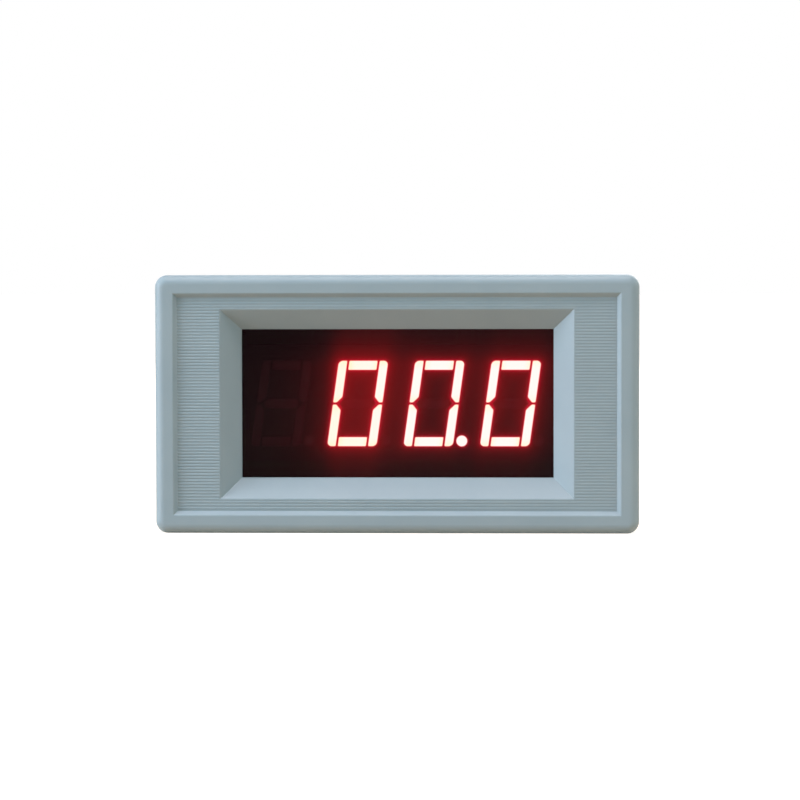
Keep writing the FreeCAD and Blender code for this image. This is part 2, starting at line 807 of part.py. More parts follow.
def trimmer_body():
    """Square trimmer with a round well for its rotor and a bore for the rotor's stem."""
    top_y = main_board_back_y + trimmer_height
    body = slab(trimmer_side, trimmer_side, trimmer_edge_radius, (main_board_back_y, top_y),
                trimmer_x, parts_z)
    well_y = top_y + rotor_proud - rotor_height
    stem_y = well_y - rotor_stem_length - rotor_clearance
    body = body.cut([rod(trimmer_x, parts_z, rotor_radius + rotor_clearance, (well_y, top_y + overrun)),
                     rod(trimmer_x, parts_z, rotor_stem_radius + rotor_clearance, (stem_y, top_y))])
    return body.fuse(small_leads(trimmer_x, parts_z, trimmer_lead_pitch, 3, main_board_back_y))


def trimmer_rotor():
    """Slotted rotor that turns in the trimmer."""
    top_y = main_board_back_y + trimmer_height + rotor_proud
    low_y = top_y - rotor_height
    rotor = rod(trimmer_x, parts_z, rotor_radius, (low_y, top_y))
    rotor = rotor.fuse(rod(trimmer_x, parts_z, rotor_stem_radius, (low_y - rotor_stem_length, low_y)))
    return rotor.cut(block(around(trimmer_x, 2 * rotor_radius), (top_y - rotor_slot_depth, top_y + overrun),
                           around(parts_z, rotor_slot_width)))


def pole_x(n):
    """Middle of terminal n, counted from the left as seen from the front."""
    return (n - (pole_count - 1) / 2) * pole_pitch


def terminal_contact(n):
    """Contact plate of terminal n, with a threaded hole and a tail through the main board."""
    x = pole_x(n)
    low_z, high_z = around(clamp_z, contact_length)
    plate = block(around(x, contact_width), (strip_seat_y, contact_back_y), (low_z, high_z))
    tail = block(around(x, contact_tail_width), (lead_end_y, strip_seat_y),
                 (high_z - contact_tail_thickness, high_z))
    hole = rod(x, clamp_z, clamp_screw_radius + contact_hole_clearance,
               (strip_seat_y - overrun, contact_back_y + overrun))
    return plate.fuse(tail).cut(hole)


def terminal_strip():
    """Moulded base with a barrier on each side of every terminal and a wall along the top."""
    length = around(0, strip_length)
    strip = block(length, (main_board_back_y, strip_seat_y), (strip_low_z, strip_high_z))
    wall = block(length, (strip_seat_y, strip_seat_y + strip_wall_height),
                 (strip_high_z - strip_wall_thickness, strip_high_z))
    barrier = block(around(0, barrier_thickness), (main_board_back_y, strip_back_y),
                    (strip_low_z, strip_high_z))
    back_edges = [e for e in edges_along(barrier, Vector(1, 0, 0))
                  if abs(e.Vertexes[0].Y - strip_back_y) < same_point]
    barrier = barrier.makeFillet(barrier_corner_radius, back_edges)
    barriers = [barrier.translated(Vector((n - pole_count / 2) * pole_pitch, 0, 0))
                for n in range(pole_count + 1)]
    strip = strip.fuse([wall, *barriers])
    well_y = washer_back_y - clamp_screw_length - well_spare
    wells = [rod(pole_x(n), clamp_z, clamp_screw_radius + well_clearance, (well_y, strip_seat_y))
             for n in range(pole_count)]
    return strip.cut(wells + [terminal_contact(n) for n in range(pole_count)])


def terminal_washer(n):
    """Square washer that clamps a wire or lug against the contact of terminal n."""
    x = pole_x(n)
    washer = slab(washer_side, washer_side, washer_corner_radius, (contact_back_y, washer_back_y), x, clamp_z)
    return washer.cut(rod(x, clamp_z, clamp_screw_radius + washer_hole_clearance,
                          (contact_back_y - overrun, washer_back_y + overrun)))


def cross_recess(top_y):
    """Tool for the cross recess of a screw head on the axis, whose top is at this depth."""
    half = recess_length / 2
    floor = recess_floor_length / 2
    profile = [(-half, top_y + overrun), (half, top_y + overrun), (half, top_y),
               (floor, top_y - recess_depth), (-floor, top_y - recess_depth), (-half, top_y)]
    blade = polygon([Vector(x, y, -recess_width / 2) for x, y in profile])
    blade = blade.extrude(Vector(0, 0, recess_width))
    turned = blade.copy()
    turned.rotate(Vector(0, 0, 0), Vector(0, 1, 0), 90)
    return blade.fuse(turned)


def screw(x, z, seat_y, head_radius, head_height, edge_radius, shank_radius, shank_length):
    """Screw whose head stands on a seat, with its thread drawn as a plain shank."""
    top_y = seat_y + head_height
    head = rod(0, 0, head_radius, (seat_y, top_y))
    head = head.makeFillet(edge_radius, edges_at_depth(head, top_y)).cut(cross_recess(top_y))
    shank = rod(0, 0, shank_radius, (seat_y - shank_length, seat_y))
    shank = shank.makeChamfer(screw_tip_chamfer, edges_at_depth(shank, seat_y - shank_length))
    return head.fuse(shank).translated(Vector(x, 0, z))


def terminal_screw(n):
    """Clamp screw of terminal n."""
    return screw(pole_x(n), clamp_z, washer_back_y, clamp_head_radius, clamp_head_height,
                 clamp_head_edge_radius, clamp_screw_radius, clamp_screw_length)


def cover_screws():
    """Four self-tapping screws, through the cover's sleeves and the main board into the posts."""
    return Part.makeCompound([
        screw(x, z, cover_head_seat_y, cover_head_radius, cover_head_height, cover_head_edge_radius,
              cover_screw_radius, cover_screw_length) for x, z in on_corners(post_x, post_z)])


def rear_cover():
    """Cover with a locating lip, sleeves for its screws, vents and a window for the terminals."""
    cover = slab(body_width, body_height, body_corner_radius, (cover_y, cover_back_y))
    cover = cover.makeFillet(cover_edge_radius, edges_at_depth(cover, cover_back_y))
    lip_width = inner_width - 2 * cover_lip_clearance
    lip_height = inner_height - 2 * cover_lip_clearance
    lip_depth = (cover_y - cover_lip_depth, cover_y)
    lip = slab(lip_width, lip_height, inner_corner_radius, lip_depth)
    lip = lip.cut(block(around(0, lip_width - 2 * cover_lip_thickness), (lip_depth[0] - overrun, cover_y),
                        around(0, lip_height - 2 * cover_lip_thickness)))
    strip_x = around(0, strip_length + 2 * strip_window_clearance)
    window_low_z = strip_low_z - strip_window_clearance
    lip = lip.cut(block(strip_x, (lip_depth[0] - overrun, cover_y),
                        (-inner_height / 2, strip_low_z + overrun)))
    sleeves = [rod(x, z, post_radius, (main_board_back_y + sleeve_clearance, cover_y))
               for x, z in on_corners(post_x, post_z)]
    cover = cover.fuse([lip, *sleeves])

    through = (cover_y - overrun, cover_back_y + overrun)
    tools = [block(strip_x, through, (window_low_z, strip_high_z + strip_window_clearance)),
             rod(trimmer_x, parts_z, driver_hole_radius, through)]
    for x, z in on_corners(post_x, post_z):
        tools.append(rod(x, z, cover_screw_radius + screw_hole_clearance, (main_board_back_y, through[1])))
        tools.append(rod(x, z, cover_head_radius + cover_head_clearance, (cover_head_seat_y, through[1])))
    first_x = vent_x - (vent_count - 1) * vent_pitch / 2
    for m in range(vent_count):
        tools += upright_slot(first_x + m * vent_pitch, parts_z, vent_width, vent_length, through)
    return cover.cut(tools)


def board_parts():
    """Every part on the back of the main board, by name."""
    parts = {"converter_chip": chip_body(), "converter_chip_leads": chip_leads()}
    for n in range(len(film_thicknesses)):
        parts[f"film_capacitor_{n + 1}"] = film_capacitor(n)
    for n in range(can_count):
        parts[f"electrolytic_capacitor_{n + 1}"] = can_capacitor(n)
    for n in range(resistor_count):
        parts[f"resistor_{n + 1}"] = resistor(n)
    parts["voltage_regulator"] = regulator()
    parts["disc_capacitor"] = disc_capacitor()
    parts["trimmer_body"] = trimmer_body()
    for n in range(pole_count):
        parts[f"terminal_contact_{n + 1}"] = terminal_contact(n)
    return parts


def build():
    """All pieces of the meter, by name."""
    pieces = {"front_housing": front_housing(), "window_lens": window_lens()}
    for n in range(digit_count):
        pieces[f"digit_shell_{n + 1}"] = digit_shell(n)
        pieces[f"digit_light_pipes_{n + 1}"] = digit_filling(n)
        pieces[f"digit_pins_{n + 1}"] = Part.makeCompound(digit_pins(n))
    for side, name in ((-1, "left_header"), (1, "right_header")):
        pieces[name] = header(side)
        pieces[f"{name}_pins"] = Part.makeCompound(header_pins(side))
    parts = board_parts()
    pieces["display_board"] = display_board()
    pieces["main_board"] = main_board(list(parts.values()))
    pieces.update(parts)
    pieces["trimmer_rotor"] = trimmer_rotor()
    pieces["terminal_strip"] = terminal_strip()
    for n in range(pole_count):
        pieces[f"terminal_washer_{n + 1}"] = terminal_washer(n)
        pieces[f"terminal_screw_{n + 1}"] = terminal_screw(n)
    pieces["rear_cover"] = rear_cover()
    pieces["cover_screws"] = cover_screws()
    return pieces


os.makedirs("parts", exist_ok=True)
for piece_name, shape in build().items():
    shape.exportStep(f"parts/{piece_name}.step")
    print(f"{piece_name}: {len(shape.Solids)} solids, {shape.Volume:.1f} mm3, valid {shape.isValid()}")
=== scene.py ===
"""Looks of a digital panel meter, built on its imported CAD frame, with its studio and camera.

Lengths are in metres in the frame of the CAD: the front faces -Y, +X is to the right and +Z is up.
"""

from __future__ import annotations

import logging
import math
from abc import ABC, abstractmethod
from collections.abc import Mapping, Sequence
from dataclasses import dataclass, field
from enum import Enum
from functools import cache, cached_property

import bmesh
import bpy
import numpy as np
from mathutils import Matrix, Vector

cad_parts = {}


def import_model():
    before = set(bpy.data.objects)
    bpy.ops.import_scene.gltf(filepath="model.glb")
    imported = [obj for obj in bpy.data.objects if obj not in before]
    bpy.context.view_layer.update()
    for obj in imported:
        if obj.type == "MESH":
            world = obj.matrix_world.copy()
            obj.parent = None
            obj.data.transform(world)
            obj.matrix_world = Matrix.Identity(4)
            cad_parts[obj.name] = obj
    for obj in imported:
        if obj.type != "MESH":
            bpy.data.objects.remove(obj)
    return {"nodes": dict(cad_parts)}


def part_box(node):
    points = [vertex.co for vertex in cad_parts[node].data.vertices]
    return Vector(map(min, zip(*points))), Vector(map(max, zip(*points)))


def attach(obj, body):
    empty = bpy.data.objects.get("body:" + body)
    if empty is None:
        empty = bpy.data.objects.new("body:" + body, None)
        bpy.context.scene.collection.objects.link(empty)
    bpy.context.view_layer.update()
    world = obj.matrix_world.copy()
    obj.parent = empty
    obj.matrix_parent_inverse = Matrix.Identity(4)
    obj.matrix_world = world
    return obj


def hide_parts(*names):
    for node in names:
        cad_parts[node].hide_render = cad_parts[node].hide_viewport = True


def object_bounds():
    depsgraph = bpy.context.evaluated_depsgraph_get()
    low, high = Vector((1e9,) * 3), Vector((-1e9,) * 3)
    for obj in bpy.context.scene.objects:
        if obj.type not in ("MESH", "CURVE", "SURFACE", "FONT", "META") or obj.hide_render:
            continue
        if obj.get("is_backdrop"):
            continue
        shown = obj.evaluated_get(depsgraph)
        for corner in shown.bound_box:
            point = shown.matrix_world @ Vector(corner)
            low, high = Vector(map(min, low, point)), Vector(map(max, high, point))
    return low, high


LOG = logging.getLogger("panel_meter")
MM = 0.001
CASE = "case"

Rgb = tuple[float, float, float]
Span = tuple[float, float]
Material = bpy.types.Material
Tree = bpy.types.NodeTree

BLACK: Rgb = (0.0, 0.0, 0.0)
WHITE: Rgb = (1.0, 1.0, 1.0)
TINNED_LEAD: Rgb = (0.62, 0.62, 0.60)

# Noise lies round 0.5: most of it from 0.3 to 0.7, and nearly all from 0.25 to 0.75.
MOST_NOISE: Span = (0.3, 0.7)
NEARLY_ALL_NOISE: Span = (0.25, 0.75)


@dataclass(frozen=True, eq=False)
class Wire:
    """An output of a node. Arithmetic on it adds the nodes that do it."""

    shader: Shader
    socket: bpy.types.NodeSocket

    def __add__(self, other: Feed) -> Wire:
        """Sum of both."""
        return self.shader.math("ADD", self, other)

    def __sub__(self, other: Feed) -> Wire:
        """This less the other."""
        return self.shader.math("SUBTRACT", self, other)

    def __rsub__(self, other: Feed) -> Wire:
        """The other less this."""
        return self.shader.math("SUBTRACT", other, self)

    def __mul__(self, other: Feed) -> Wire:
        """Product of both."""
        return self.shader.math("MULTIPLY", self, other)

    def __truediv__(self, other: Feed) -> Wire:
        """This over the other."""
        return self.shader.math("DIVIDE", self, other)

    def __rtruediv__(self, other: Feed) -> Wire:
        """The other over this."""
        return self.shader.math("DIVIDE", other, self)

    def __lt__(self, other: Feed) -> Wire:
        """1 where this is less, and 0 elsewhere."""
        return self.shader.math("LESS_THAN", self, other)

    def __gt__(self, other: Feed) -> Wire:
        """1 where this is more, and 0 elsewhere."""
        return self.shader.math("GREATER_THAN", self, other)

    def __abs__(self) -> Wire:
        """Its size without its sign."""
        return self.shader.math("ABSOLUTE", self)


Feed = float | Sequence[float] | Wire
Inputs = Mapping[str | int, Feed] | None


class Shader:
    """Fills one node tree. An input takes a number, a colour, a vector or another node's output."""

    def __init__(self, tree: Tree) -> None:
        """Starts on an emptied tree."""
        self.tree = tree
        tree.nodes.clear()

    def put(self, kind: str, inputs: Inputs = None, **settings: object) -> bpy.types.Node:
        """Adds a node.

        Args:
            kind: Blender's name of the node, without its "ShaderNode".
            inputs: what feeds its inputs, by name or by place.
            **settings: the node's own properties, such as its operation.

        Returns:
            The node.
        """
        node = self.tree.nodes.new("ShaderNode" + kind)
        for name, value in settings.items():
            setattr(node, name, value)
        for key, value in (inputs or {}).items():
            socket = node.inputs[key]
            if isinstance(value, Wire):
                self.tree.links.new(value.socket, socket)
            else:
                socket.default_value = (*value, 1.0) if socket.type == "RGBA" else value
        return node

    def wire(self, kind: str, inputs: Inputs = None, output: str | int = 0, **settings: object) -> Wire:
        """Adds a node and returns one of its outputs, by name or by place."""
        return Wire(self, self.put(kind, inputs, **settings).outputs[output])

    @cached_property
    def place(self) -> Wire:
        """Place on the object, in metres."""
        return self.wire("TexCoord", output="Object")

    def math(self, operation: str, *values: Feed, clamp: bool = False) -> Wire:
        """One step of arithmetic, by Blender's name of it, kept from 0 to 1 if it is clamped."""
        return self.wire("Math", dict(enumerate(values)), operation=operation, use_clamp=clamp)

    def axes(self, vector: Wire) -> tuple[Wire, ...]:
        """X, Y and Z of a vector."""
        return tuple(Wire(self, socket) for socket in self.put("SeparateXYZ", {0: vector}).outputs)

    def vector(self, x: Feed, y: Feed, z: Feed) -> Wire:
        """Vector with this X, Y and Z."""
        return self.wire("CombineXYZ", {0: x, 1: y, 2: z})

    def from_axis(self, axis: Span) -> tuple[Wire, Wire, Wire]:
        """Measures from an axis along Y.

        Args:
            axis: X and Z of the axis.

        Returns:
            How far the place lies across, up and straight away from it.
        """
        x, _, z = self.axes(self.place)
        across, up = x - axis[0], z - axis[1]
        return across, up, self.math("SQRT", across * across + up * up)

    def blend(self, share: Feed, first: Feed, second: Feed, how: str = "MIX") -> Wire:
        """Colour that goes from the first to the second with the share, or adds the second if how is ADD."""
        return self.wire("Mix", {0: share, 6: first, 7: second}, 2, data_type="RGBA", blend_type=how)

    def level(self, share: Wire, low: float, high: float) -> Wire:
        """Number that goes evenly from low to high as the share goes from 0 to 1."""
        return self.math("MULTIPLY_ADD", share, high - low, low)

    def span(self, value: Wire, start: float, end: float, low: float = 0.0, high: float = 1.0) -> Wire:
        """Number that goes smoothly from low to high as the value goes from start to end, and stays there."""
        feeds = {"Value": value, "From Min": start, "From Max": end, "To Min": low, "To Max": high}
        return self.wire("MapRange", feeds, interpolation_type="SMOOTHSTEP")

    def fall(self, distance: Wire, reach: float, level: float) -> Wire:
        """A level that falls off exponentially with the distance, to about a third at each reach."""
        return self.math("EXPONENT", distance / -reach) * level

    def noise(self, vector: Wire, scale: Feed, detail: float = 2.0, roughness: float = 0.5) -> Wire:
        """Noise with this many patches per metre, and detail octaves of finer patches of the given weight."""
        feeds = {"Vector": vector, "Scale": scale, "Detail": detail, "Roughness": roughness}
        return self.wire("TexNoise", feeds)

    def relief(self, height: Wire, depth: float) -> Wire:
        """Surface normal of a relief whose height goes from 0 to 1 over a depth in metres."""
        return self.wire("Bump", {"Height": height, "Distance": depth, "Strength": 1.0})

    def value(self, name: str) -> Wire:
        """Value that the points of the mesh carry under this name."""
        return self.wire("Attribute", output="Fac", attribute_name=name)

    def seen(self) -> Wire:
        """1 for what the camera sees, straight, mirrored or through a lens, and 0 for light on the meter.

        Returns:
            The mask.
        """
        path = self.outputs(self.put("LightPath"))
        direct = self.math("MAXIMUM", path["Is Camera Ray"], path["Is Glossy Ray"])
        return self.math("MAXIMUM", direct, path["Is Transmission Ray"])

    def outputs(self, node: bpy.types.Node) -> dict[str, Wire]:
        """All outputs of a node, by name."""
        return {socket.name: Wire(self, socket) for socket in node.outputs}

    def group(self, tree: Tree, **inputs: Feed) -> dict[str, Wire]:
        """Places a node group and returns its outputs, by name."""
        return self.outputs(self.put("Group", inputs, node_tree=tree))

    def surface(self, inputs: Inputs) -> None:
        """Ends the tree in one Principled surface."""
        self.put("OutputMaterial", {"Surface": self.wire("BsdfPrincipled", inputs)})


class Kind(Enum):
    """What a socket of a node group carries."""

    NUMBER = "NodeSocketFloat"
    PLACE = "NodeSocketVector"
    COLOUR = "NodeSocketColor"


class GroupSheet:
    """A new node group: the shader that fills it, what its recipe reads and where its results go."""

    def __init__(self, name: str, given: Mapping[str, Kind], *results: str, colour: str = "") -> None:
        """Makes the group with its sockets.

        Args:
            name: the group's name.
            given: kind of each input, by its name.
            *results: names of the outputs that are numbers.
            colour: name of the output that is a colour, if there is one.
        """
        tree = bpy.data.node_groups.new(name, "ShaderNodeTree")
        outputs = dict.fromkeys(results, Kind.NUMBER) | ({colour: Kind.COLOUR} if colour else {})
        for way, sockets in (("INPUT", given), ("OUTPUT", outputs)):
            for label, kind in sockets.items():
                tree.interface.new_socket(label, in_out=way, socket_type=kind.value)
        self.shader = Shader(tree)
        self.given = self.shader.outputs(tree.nodes.new("NodeGroupInput"))
        self.end = tree.nodes.new("NodeGroupOutput")

    def finish(self, **results: Wire) -> Tree:
        """Sends each result to its output.

        Args:
            **results: the results, by the names of the outputs.

        Returns:
            The finished group.
        """
        tree = self.shader.tree
        for label, result in results.items():
            tree.links.new(result.socket, self.end.inputs[label])
        return tree


@cache
def moulded_grain() -> Tree:
    """Grain of a moulded surface: fine noise for the eroded mould, broad noise for the flow of the melt.

    Returns:
        The group.
    """
    given = {"Place": Kind.PLACE, "Grain": Kind.NUMBER, "Flow": Kind.NUMBER}
    sheet = GroupSheet("Moulded grain", given, "Height", "Flow")
    shader, place = sheet.shader, sheet.given["Place"]
    fine = shader.noise(place, 1.0 / sheet.given["Grain"], detail=3.0, roughness=0.6)
    broad = shader.noise(place, 1.0 / sheet.given["Flow"], detail=3.0, roughness=0.55)
    return sheet.finish(Height=fine, Flow=shader.span(broad, *MOST_NOISE))


@cache
def turned_rings() -> Tree:
    """Rings of a turned or stamped face: a sine of the distance to its axis, with a random strength per ring.

    Returns:
        The group.
    """
    sheet = GroupSheet("Turned rings", {"Reach": Kind.NUMBER, "Step": Kind.NUMBER}, "Height", "Sheen")
    shader = sheet.shader
    turns = sheet.given["Reach"] / sheet.given["Step"]
    uneven = shader.noise(shader.vector(turns, 0.0, 0.0), 0.9, roughness=0.6)
    wave = shader.math("SINE", turns * math.tau)
    return sheet.finish(Height=wave * uneven, Sheen=shader.span(uneven, *MOST_NOISE))


@dataclass(frozen=True)
class ZeroFigure:
    """The slanted zero that the lit modules show.

    Attributes:
        rise: Z of its middle.
        lean: how far it leans to the right for each length up.
        ring_x: half the width of the ring on which its bars lie.
        ring_z: half the height of that ring.
        half_bar: half the width of a bar.
    """

    rise: float = -0.1 * MM
    lean: float = math.tan(math.radians(8.0))
    ring_x: float = 3.375 * MM
    ring_z: float = 6.3 * MM
    half_bar: float = 0.775 * MM


ZERO = ZeroFigure()


@cache
def zero_distance() -> Tree:
    """Distances to a lit zero, by place in the plane of the digits, with across taken along the slant.

    Box is how far a place lies outside the zero's box, across and up added. Edge is its distance to the bars:
    the distance to the box's outline less half a bar.

    Returns:
        The group.
    """
    sheet = GroupSheet("Zero distance", {"Place": Kind.PLACE, "Middle": Kind.NUMBER}, "Box", "Edge")
    shader = sheet.shader
    x, _, z = shader.axes(sheet.given["Place"])
    up = z - ZERO.rise
    past_x = abs(x - sheet.given["Middle"] - up * ZERO.lean) - ZERO.ring_x
    past_z = abs(up) - ZERO.ring_z
    out_x = shader.math("MAXIMUM", past_x, 0.0)
    out_z = shader.math("MAXIMUM", past_z, 0.0)
    outside = shader.math("SQRT", out_x * out_x + out_z * out_z)
    inside = shader.math("MINIMUM", shader.math("MAXIMUM", past_x, past_z), 0.0)
    edge = shader.math("MAXIMUM", abs(outside + inside) - ZERO.half_bar, 0.0)
    return sheet.finish(Box=out_x + out_z, Edge=edge)


@cache
def tinned_foot() -> Tree:
    """Share of bare tinned lead: 1 below a level on the board's side, 0 on the moulded body above it.

    Returns:
        The group.
    """
    sheet = GroupSheet("Tinned foot", {"Place": Kind.PLACE, "Level": Kind.NUMBER}, "Lead")
    return sheet.finish(Lead=sheet.shader.axes(sheet.given["Place"])[1] < sheet.given["Level"])


@cache
def resistor_bands() -> Tree:
    """Painted code of a resistor: five rings of paint along it, in a colour each, over its lacquer.

    Returns:
        The group.
    """
    middles = {"Ring 1": 0.16, "Ring 2": 0.32, "Ring 3": 0.45, "Ring 4": 0.58, "Ring 5": 0.84}
    half_ring = 0.038
    given = {"Along": Kind.NUMBER} | dict.fromkeys(("Lacquer", *middles), Kind.COLOUR)
    sheet = GroupSheet("Resistor bands", given, "Paint", colour="Colour")
    colour = sheet.given["Lacquer"]
    rings = []
    for label, middle in middles.items():
        rings.append(abs(sheet.given["Along"] - middle) < half_ring)
        colour = sheet.shader.blend(rings[-1], colour, sheet.given[label])
    return sheet.finish(Colour=colour, Paint=sum(rings[1:], rings[0]))


@cache
def copper_tracks() -> Tree:
    """Tracks under solder mask: level and upright lines on a fixed step, in stretches kept by chance.

    Returns:
        The group.
    """
    half_track, stretch, dropped = 0.17, 6.2 * MM, 0.56
    sheet = GroupSheet("Copper tracks", {"Place": Kind.PLACE, "Step": Kind.NUMBER}, "Track")
    shader = sheet.shader
    x, _, z = shader.axes(sheet.given["Place"])
    lines = []
    for along, across, seed in ((x, z, 0.0), (z, x, 7.0)):
        rows = across / sheet.given["Step"]
        line = abs(shader.math("FRACT", rows) - 0.5) < half_track
        cell = shader.vector(shader.math("FLOOR", along / stretch), shader.math("FLOOR", rows), seed)
        lines.append(line * (shader.wire("TexWhiteNoise", {"Vector": cell}, "Value") > dropped))
    return sheet.finish(Track=shader.math("MAXIMUM", *lines))


class Finish(ABC):
    """A surface finish, which makes the material of the pieces that have it."""

    @abstractmethod
    def shade(self, shader: Shader) -> None:
        """Fills the material's node tree."""

    def material(self, name: str) -> Material:
        """Makes the material.

        Args:
            name: the material's name.

        Returns:
            The material with its nodes.
        """
        made = bpy.data.materials.new(name)
        made.use_nodes = True
        self.shade(Shader(made.node_tree))
        return made


@dataclass(frozen=True)
class MouldedPlastic(Finish):
    """Moulded plastic with a fine eroded grain and a faint cloudiness.

    Attributes:
        colour: its usual colour.
        cloud: its colour in the cloudy patches.
        roughness: how dull it is.
        uneven: how far it is duller or shinier from grain to grain.
        grain: size of a grain.
        depth: height of the grain.
        flow: size of a cloudy patch.
    """

    colour: Rgb
    cloud: Rgb
    roughness: float = 0.5
    uneven: float = 0.06
    grain: float = 0.14 * MM
    depth: float = 0.0007 * MM
    flow: float = 9.0 * MM

    def shade(self, shader: Shader) -> None:
        """Fills the material's node tree."""
        grain = shader.group(moulded_grain(), Place=shader.place, Grain=self.grain, Flow=self.flow)
        ends = (self.roughness - self.uneven, self.roughness + self.uneven)
        shader.surface({
            "Base Color": self.tone(shader, shader.blend(grain["Flow"], self.colour, self.cloud)),
            "Roughness": shader.span(grain["Height"], *NEARLY_ALL_NOISE, *ends),
            "Normal": self.normal(shader, shader.relief(grain["Height"], self.depth)),
        })

    def tone(self, shader: Shader, moulded: Wire) -> Wire:
        """Colour that the surface gets, from the one with its cloudiness."""
        return moulded

    def normal(self, shader: Shader, bumped: Wire) -> Wire:
        """Normal that the surface gets, from the one with its grain."""
        return bumped


@dataclass(frozen=True)
class SlottedPlastic(MouldedPlastic):
    """Moulded plastic with a slot for a screwdriver, with painted shade in the slot below the face.

    Attributes:
        face: Y of the face.
        slot: colour of the painted shade in the slot.
        shade_depths: depth below the face at which the painted shade starts, and at which it is full.
    """

    face: float = 0.0
    # painted shade: dark colour that the slot gets below the face
    slot: Rgb = (0.09, 0.085, 0.08)
    shade_depths: Span = (0.05 * MM, 0.2 * MM)

    def tone(self, shader: Shader, moulded: Wire) -> Wire:
        """Paints shade in the slot."""
        # painted shade, fuller deeper below the face
        below = self.face - shader.axes(shader.place)[1]
        return shader.blend(shader.span(below, *self.shade_depths), moulded, self.slot)


@dataclass(frozen=True)
class JointedPlastic(MouldedPlastic):
    """Moulded plastic with the fine dark line at which it meets its neighbour.

    Attributes:
        joint: Y of the line.
        line: distance from the line at which its colour is full, and at which it ends.
        shade_in_line: colour in the line.
    """

    joint: float = 0.0
    line: Span = (0.02 * MM, 0.11 * MM)
    shade_in_line: Rgb = (0.06, 0.072, 0.078)

    def tone(self, shader: Shader, moulded: Wire) -> Wire:
        """Darkens the line."""
        away = abs(shader.axes(shader.place)[1] - self.joint)
        return shader.blend(shader.span(away, *self.line), self.shade_in_line, moulded)


@dataclass(frozen=True)
class RibbedPlastic(JointedPlastic):
    """Moulded plastic whose fine ribs are rounded off: their normals lean to the front, more so at the right.

    Attributes:
        ribs_y: Y from the crests of the ribs to their feet.
        ribs_reach: how far the ribs go from the middle, across and up.
        softening: share by which the normals lean, at the left and at the right.
    """

    ribs_y: Span = (-6.79 * MM, -6.68 * MM)
    ribs_reach: Span = (35.85 * MM, 17.45 * MM)
    softening: Span = (0.43, 0.6)

    def normal(self, shader: Shader, bumped: Wire) -> Wire:
        """Leans the normals of the ribs to the front.

        Args:
            shader: the material's node tree.
            bumped: the normal with its grain.

        Returns:
            The normal.
        """
        x, y, z = shader.axes(shader.place)
        across, up = self.ribs_reach
        ribs = (y > self.ribs_y[0]) * (y < self.ribs_y[1]) * (abs(x) < across) * (abs(z) < up)
        share = shader.span(x, -across, across, *self.softening) * ribs
        front = shader.wire("Mix", {0: share, 4: bumped, 5: (0.0, -1.0, 0.0)}, 1, data_type="VECTOR")
        return shader.wire("VectorMath", {0: front}, operation="NORMALIZE")


@dataclass(frozen=True)
class PlatedMetal(Finish):
    """Plated metal whose plating is stained, with its colour and its colour where it is dull."""

    colour: Rgb
    dull: Rgb

    def plate(self, shader: Shader, stains: float, fresh: float, sheen: Wire, normal: Wire) -> None:
        """Makes the plating.

        Args:
            shader: the material's node tree.
            stains: stains per metre.
            fresh: noise up to which the plating has no stain.
            sheen: how dull it is.
            normal: its normal.
        """
        cloud = shader.noise(shader.place, stains, detail=4.0, roughness=0.6)
        stain = shader.span(cloud, fresh, MOST_NOISE[1])
        shader.surface({"Base Color": shader.blend(stain, self.colour, self.dull), "Metallic": 1.0,
                        "Roughness": sheen, "Normal": normal})


@dataclass(frozen=True)
class TurnedMetal(PlatedMetal):
    """Plated metal with the rings of its making round an axis along Y, at its X and Z."""

    axis: Span
    roughness: Span = (0.22, 0.4)
    step: float = 0.14 * MM
    depth: float = 0.003 * MM

    def shade(self, shader: Shader) -> None:
        """Fills the material's node tree."""
        rings = shader.group(turned_rings(), Reach=shader.from_axis(self.axis)[2], Step=self.step)
        sheen = shader.span(rings["Sheen"], 0.0, 1.0, *self.roughness)
        bumped = shader.relief(rings["Height"], self.depth)
        self.plate(shader, stains=900.0, fresh=0.4, sheen=sheen, normal=bumped)


@dataclass(frozen=True)
class PlatedSheet(PlatedMetal):
    """Plated sheet or wire with fine drawing marks, so many per metre, which may be longer along an axis."""

    roughness: Span = (0.24, 0.42)
    stretch: tuple[float, float, float] = (1.0, 1.0, 0.08)
    marks: float = 14000.0
    depth: float = 0.002 * MM

    def shade(self, shader: Shader) -> None:
        """Fills the material's node tree."""
        drawn = shader.wire("Mapping", {"Vector": shader.place, "Scale": self.stretch})
        marks = shader.noise(drawn, self.marks, detail=3.0, roughness=0.6)
        sheen = shader.span(marks, *MOST_NOISE, *self.roughness)
        bumped = shader.relief(marks, self.depth)
        self.plate(shader, stains=700.0, fresh=0.38, sheen=sheen, normal=bumped)


@dataclass(frozen=True)
class LeadedPart(Finish):
    """A moulded or dipped part with its leads in the same solid: body above a level, tinned lead below it.

    Attributes:
        colour: colour of the body.
        cloud: colour of its thinner or duller patches.
        foot: height on Y at which the leads come out.
        wave: size of the waves in its skin.
        flow: size of the patches.
    """

    colour: Rgb
    cloud: Rgb
    foot: float
    roughness: Span = (0.21, 0.33)
    wave: float = 1.6 * MM
    depth: float = 0.02 * MM
    flow: float = 2.4 * MM

    def shade(self, shader: Shader) -> None:
        """Fills the material's node tree."""
        lead = shader.group(tinned_foot(), Place=shader.place, Level=self.foot)["Lead"]
        skin = shader.group(moulded_grain(), Place=shader.place, Grain=self.wave, Flow=self.flow)
        body = shader.blend(skin["Flow"], self.colour, self.cloud)
        shader.surface({
            "Base Color": shader.blend(lead, body, TINNED_LEAD),
            "Metallic": lead,
            "Roughness": shader.level(skin["Height"], *self.roughness),
            "Normal": shader.relief(skin["Height"], self.depth),
        })


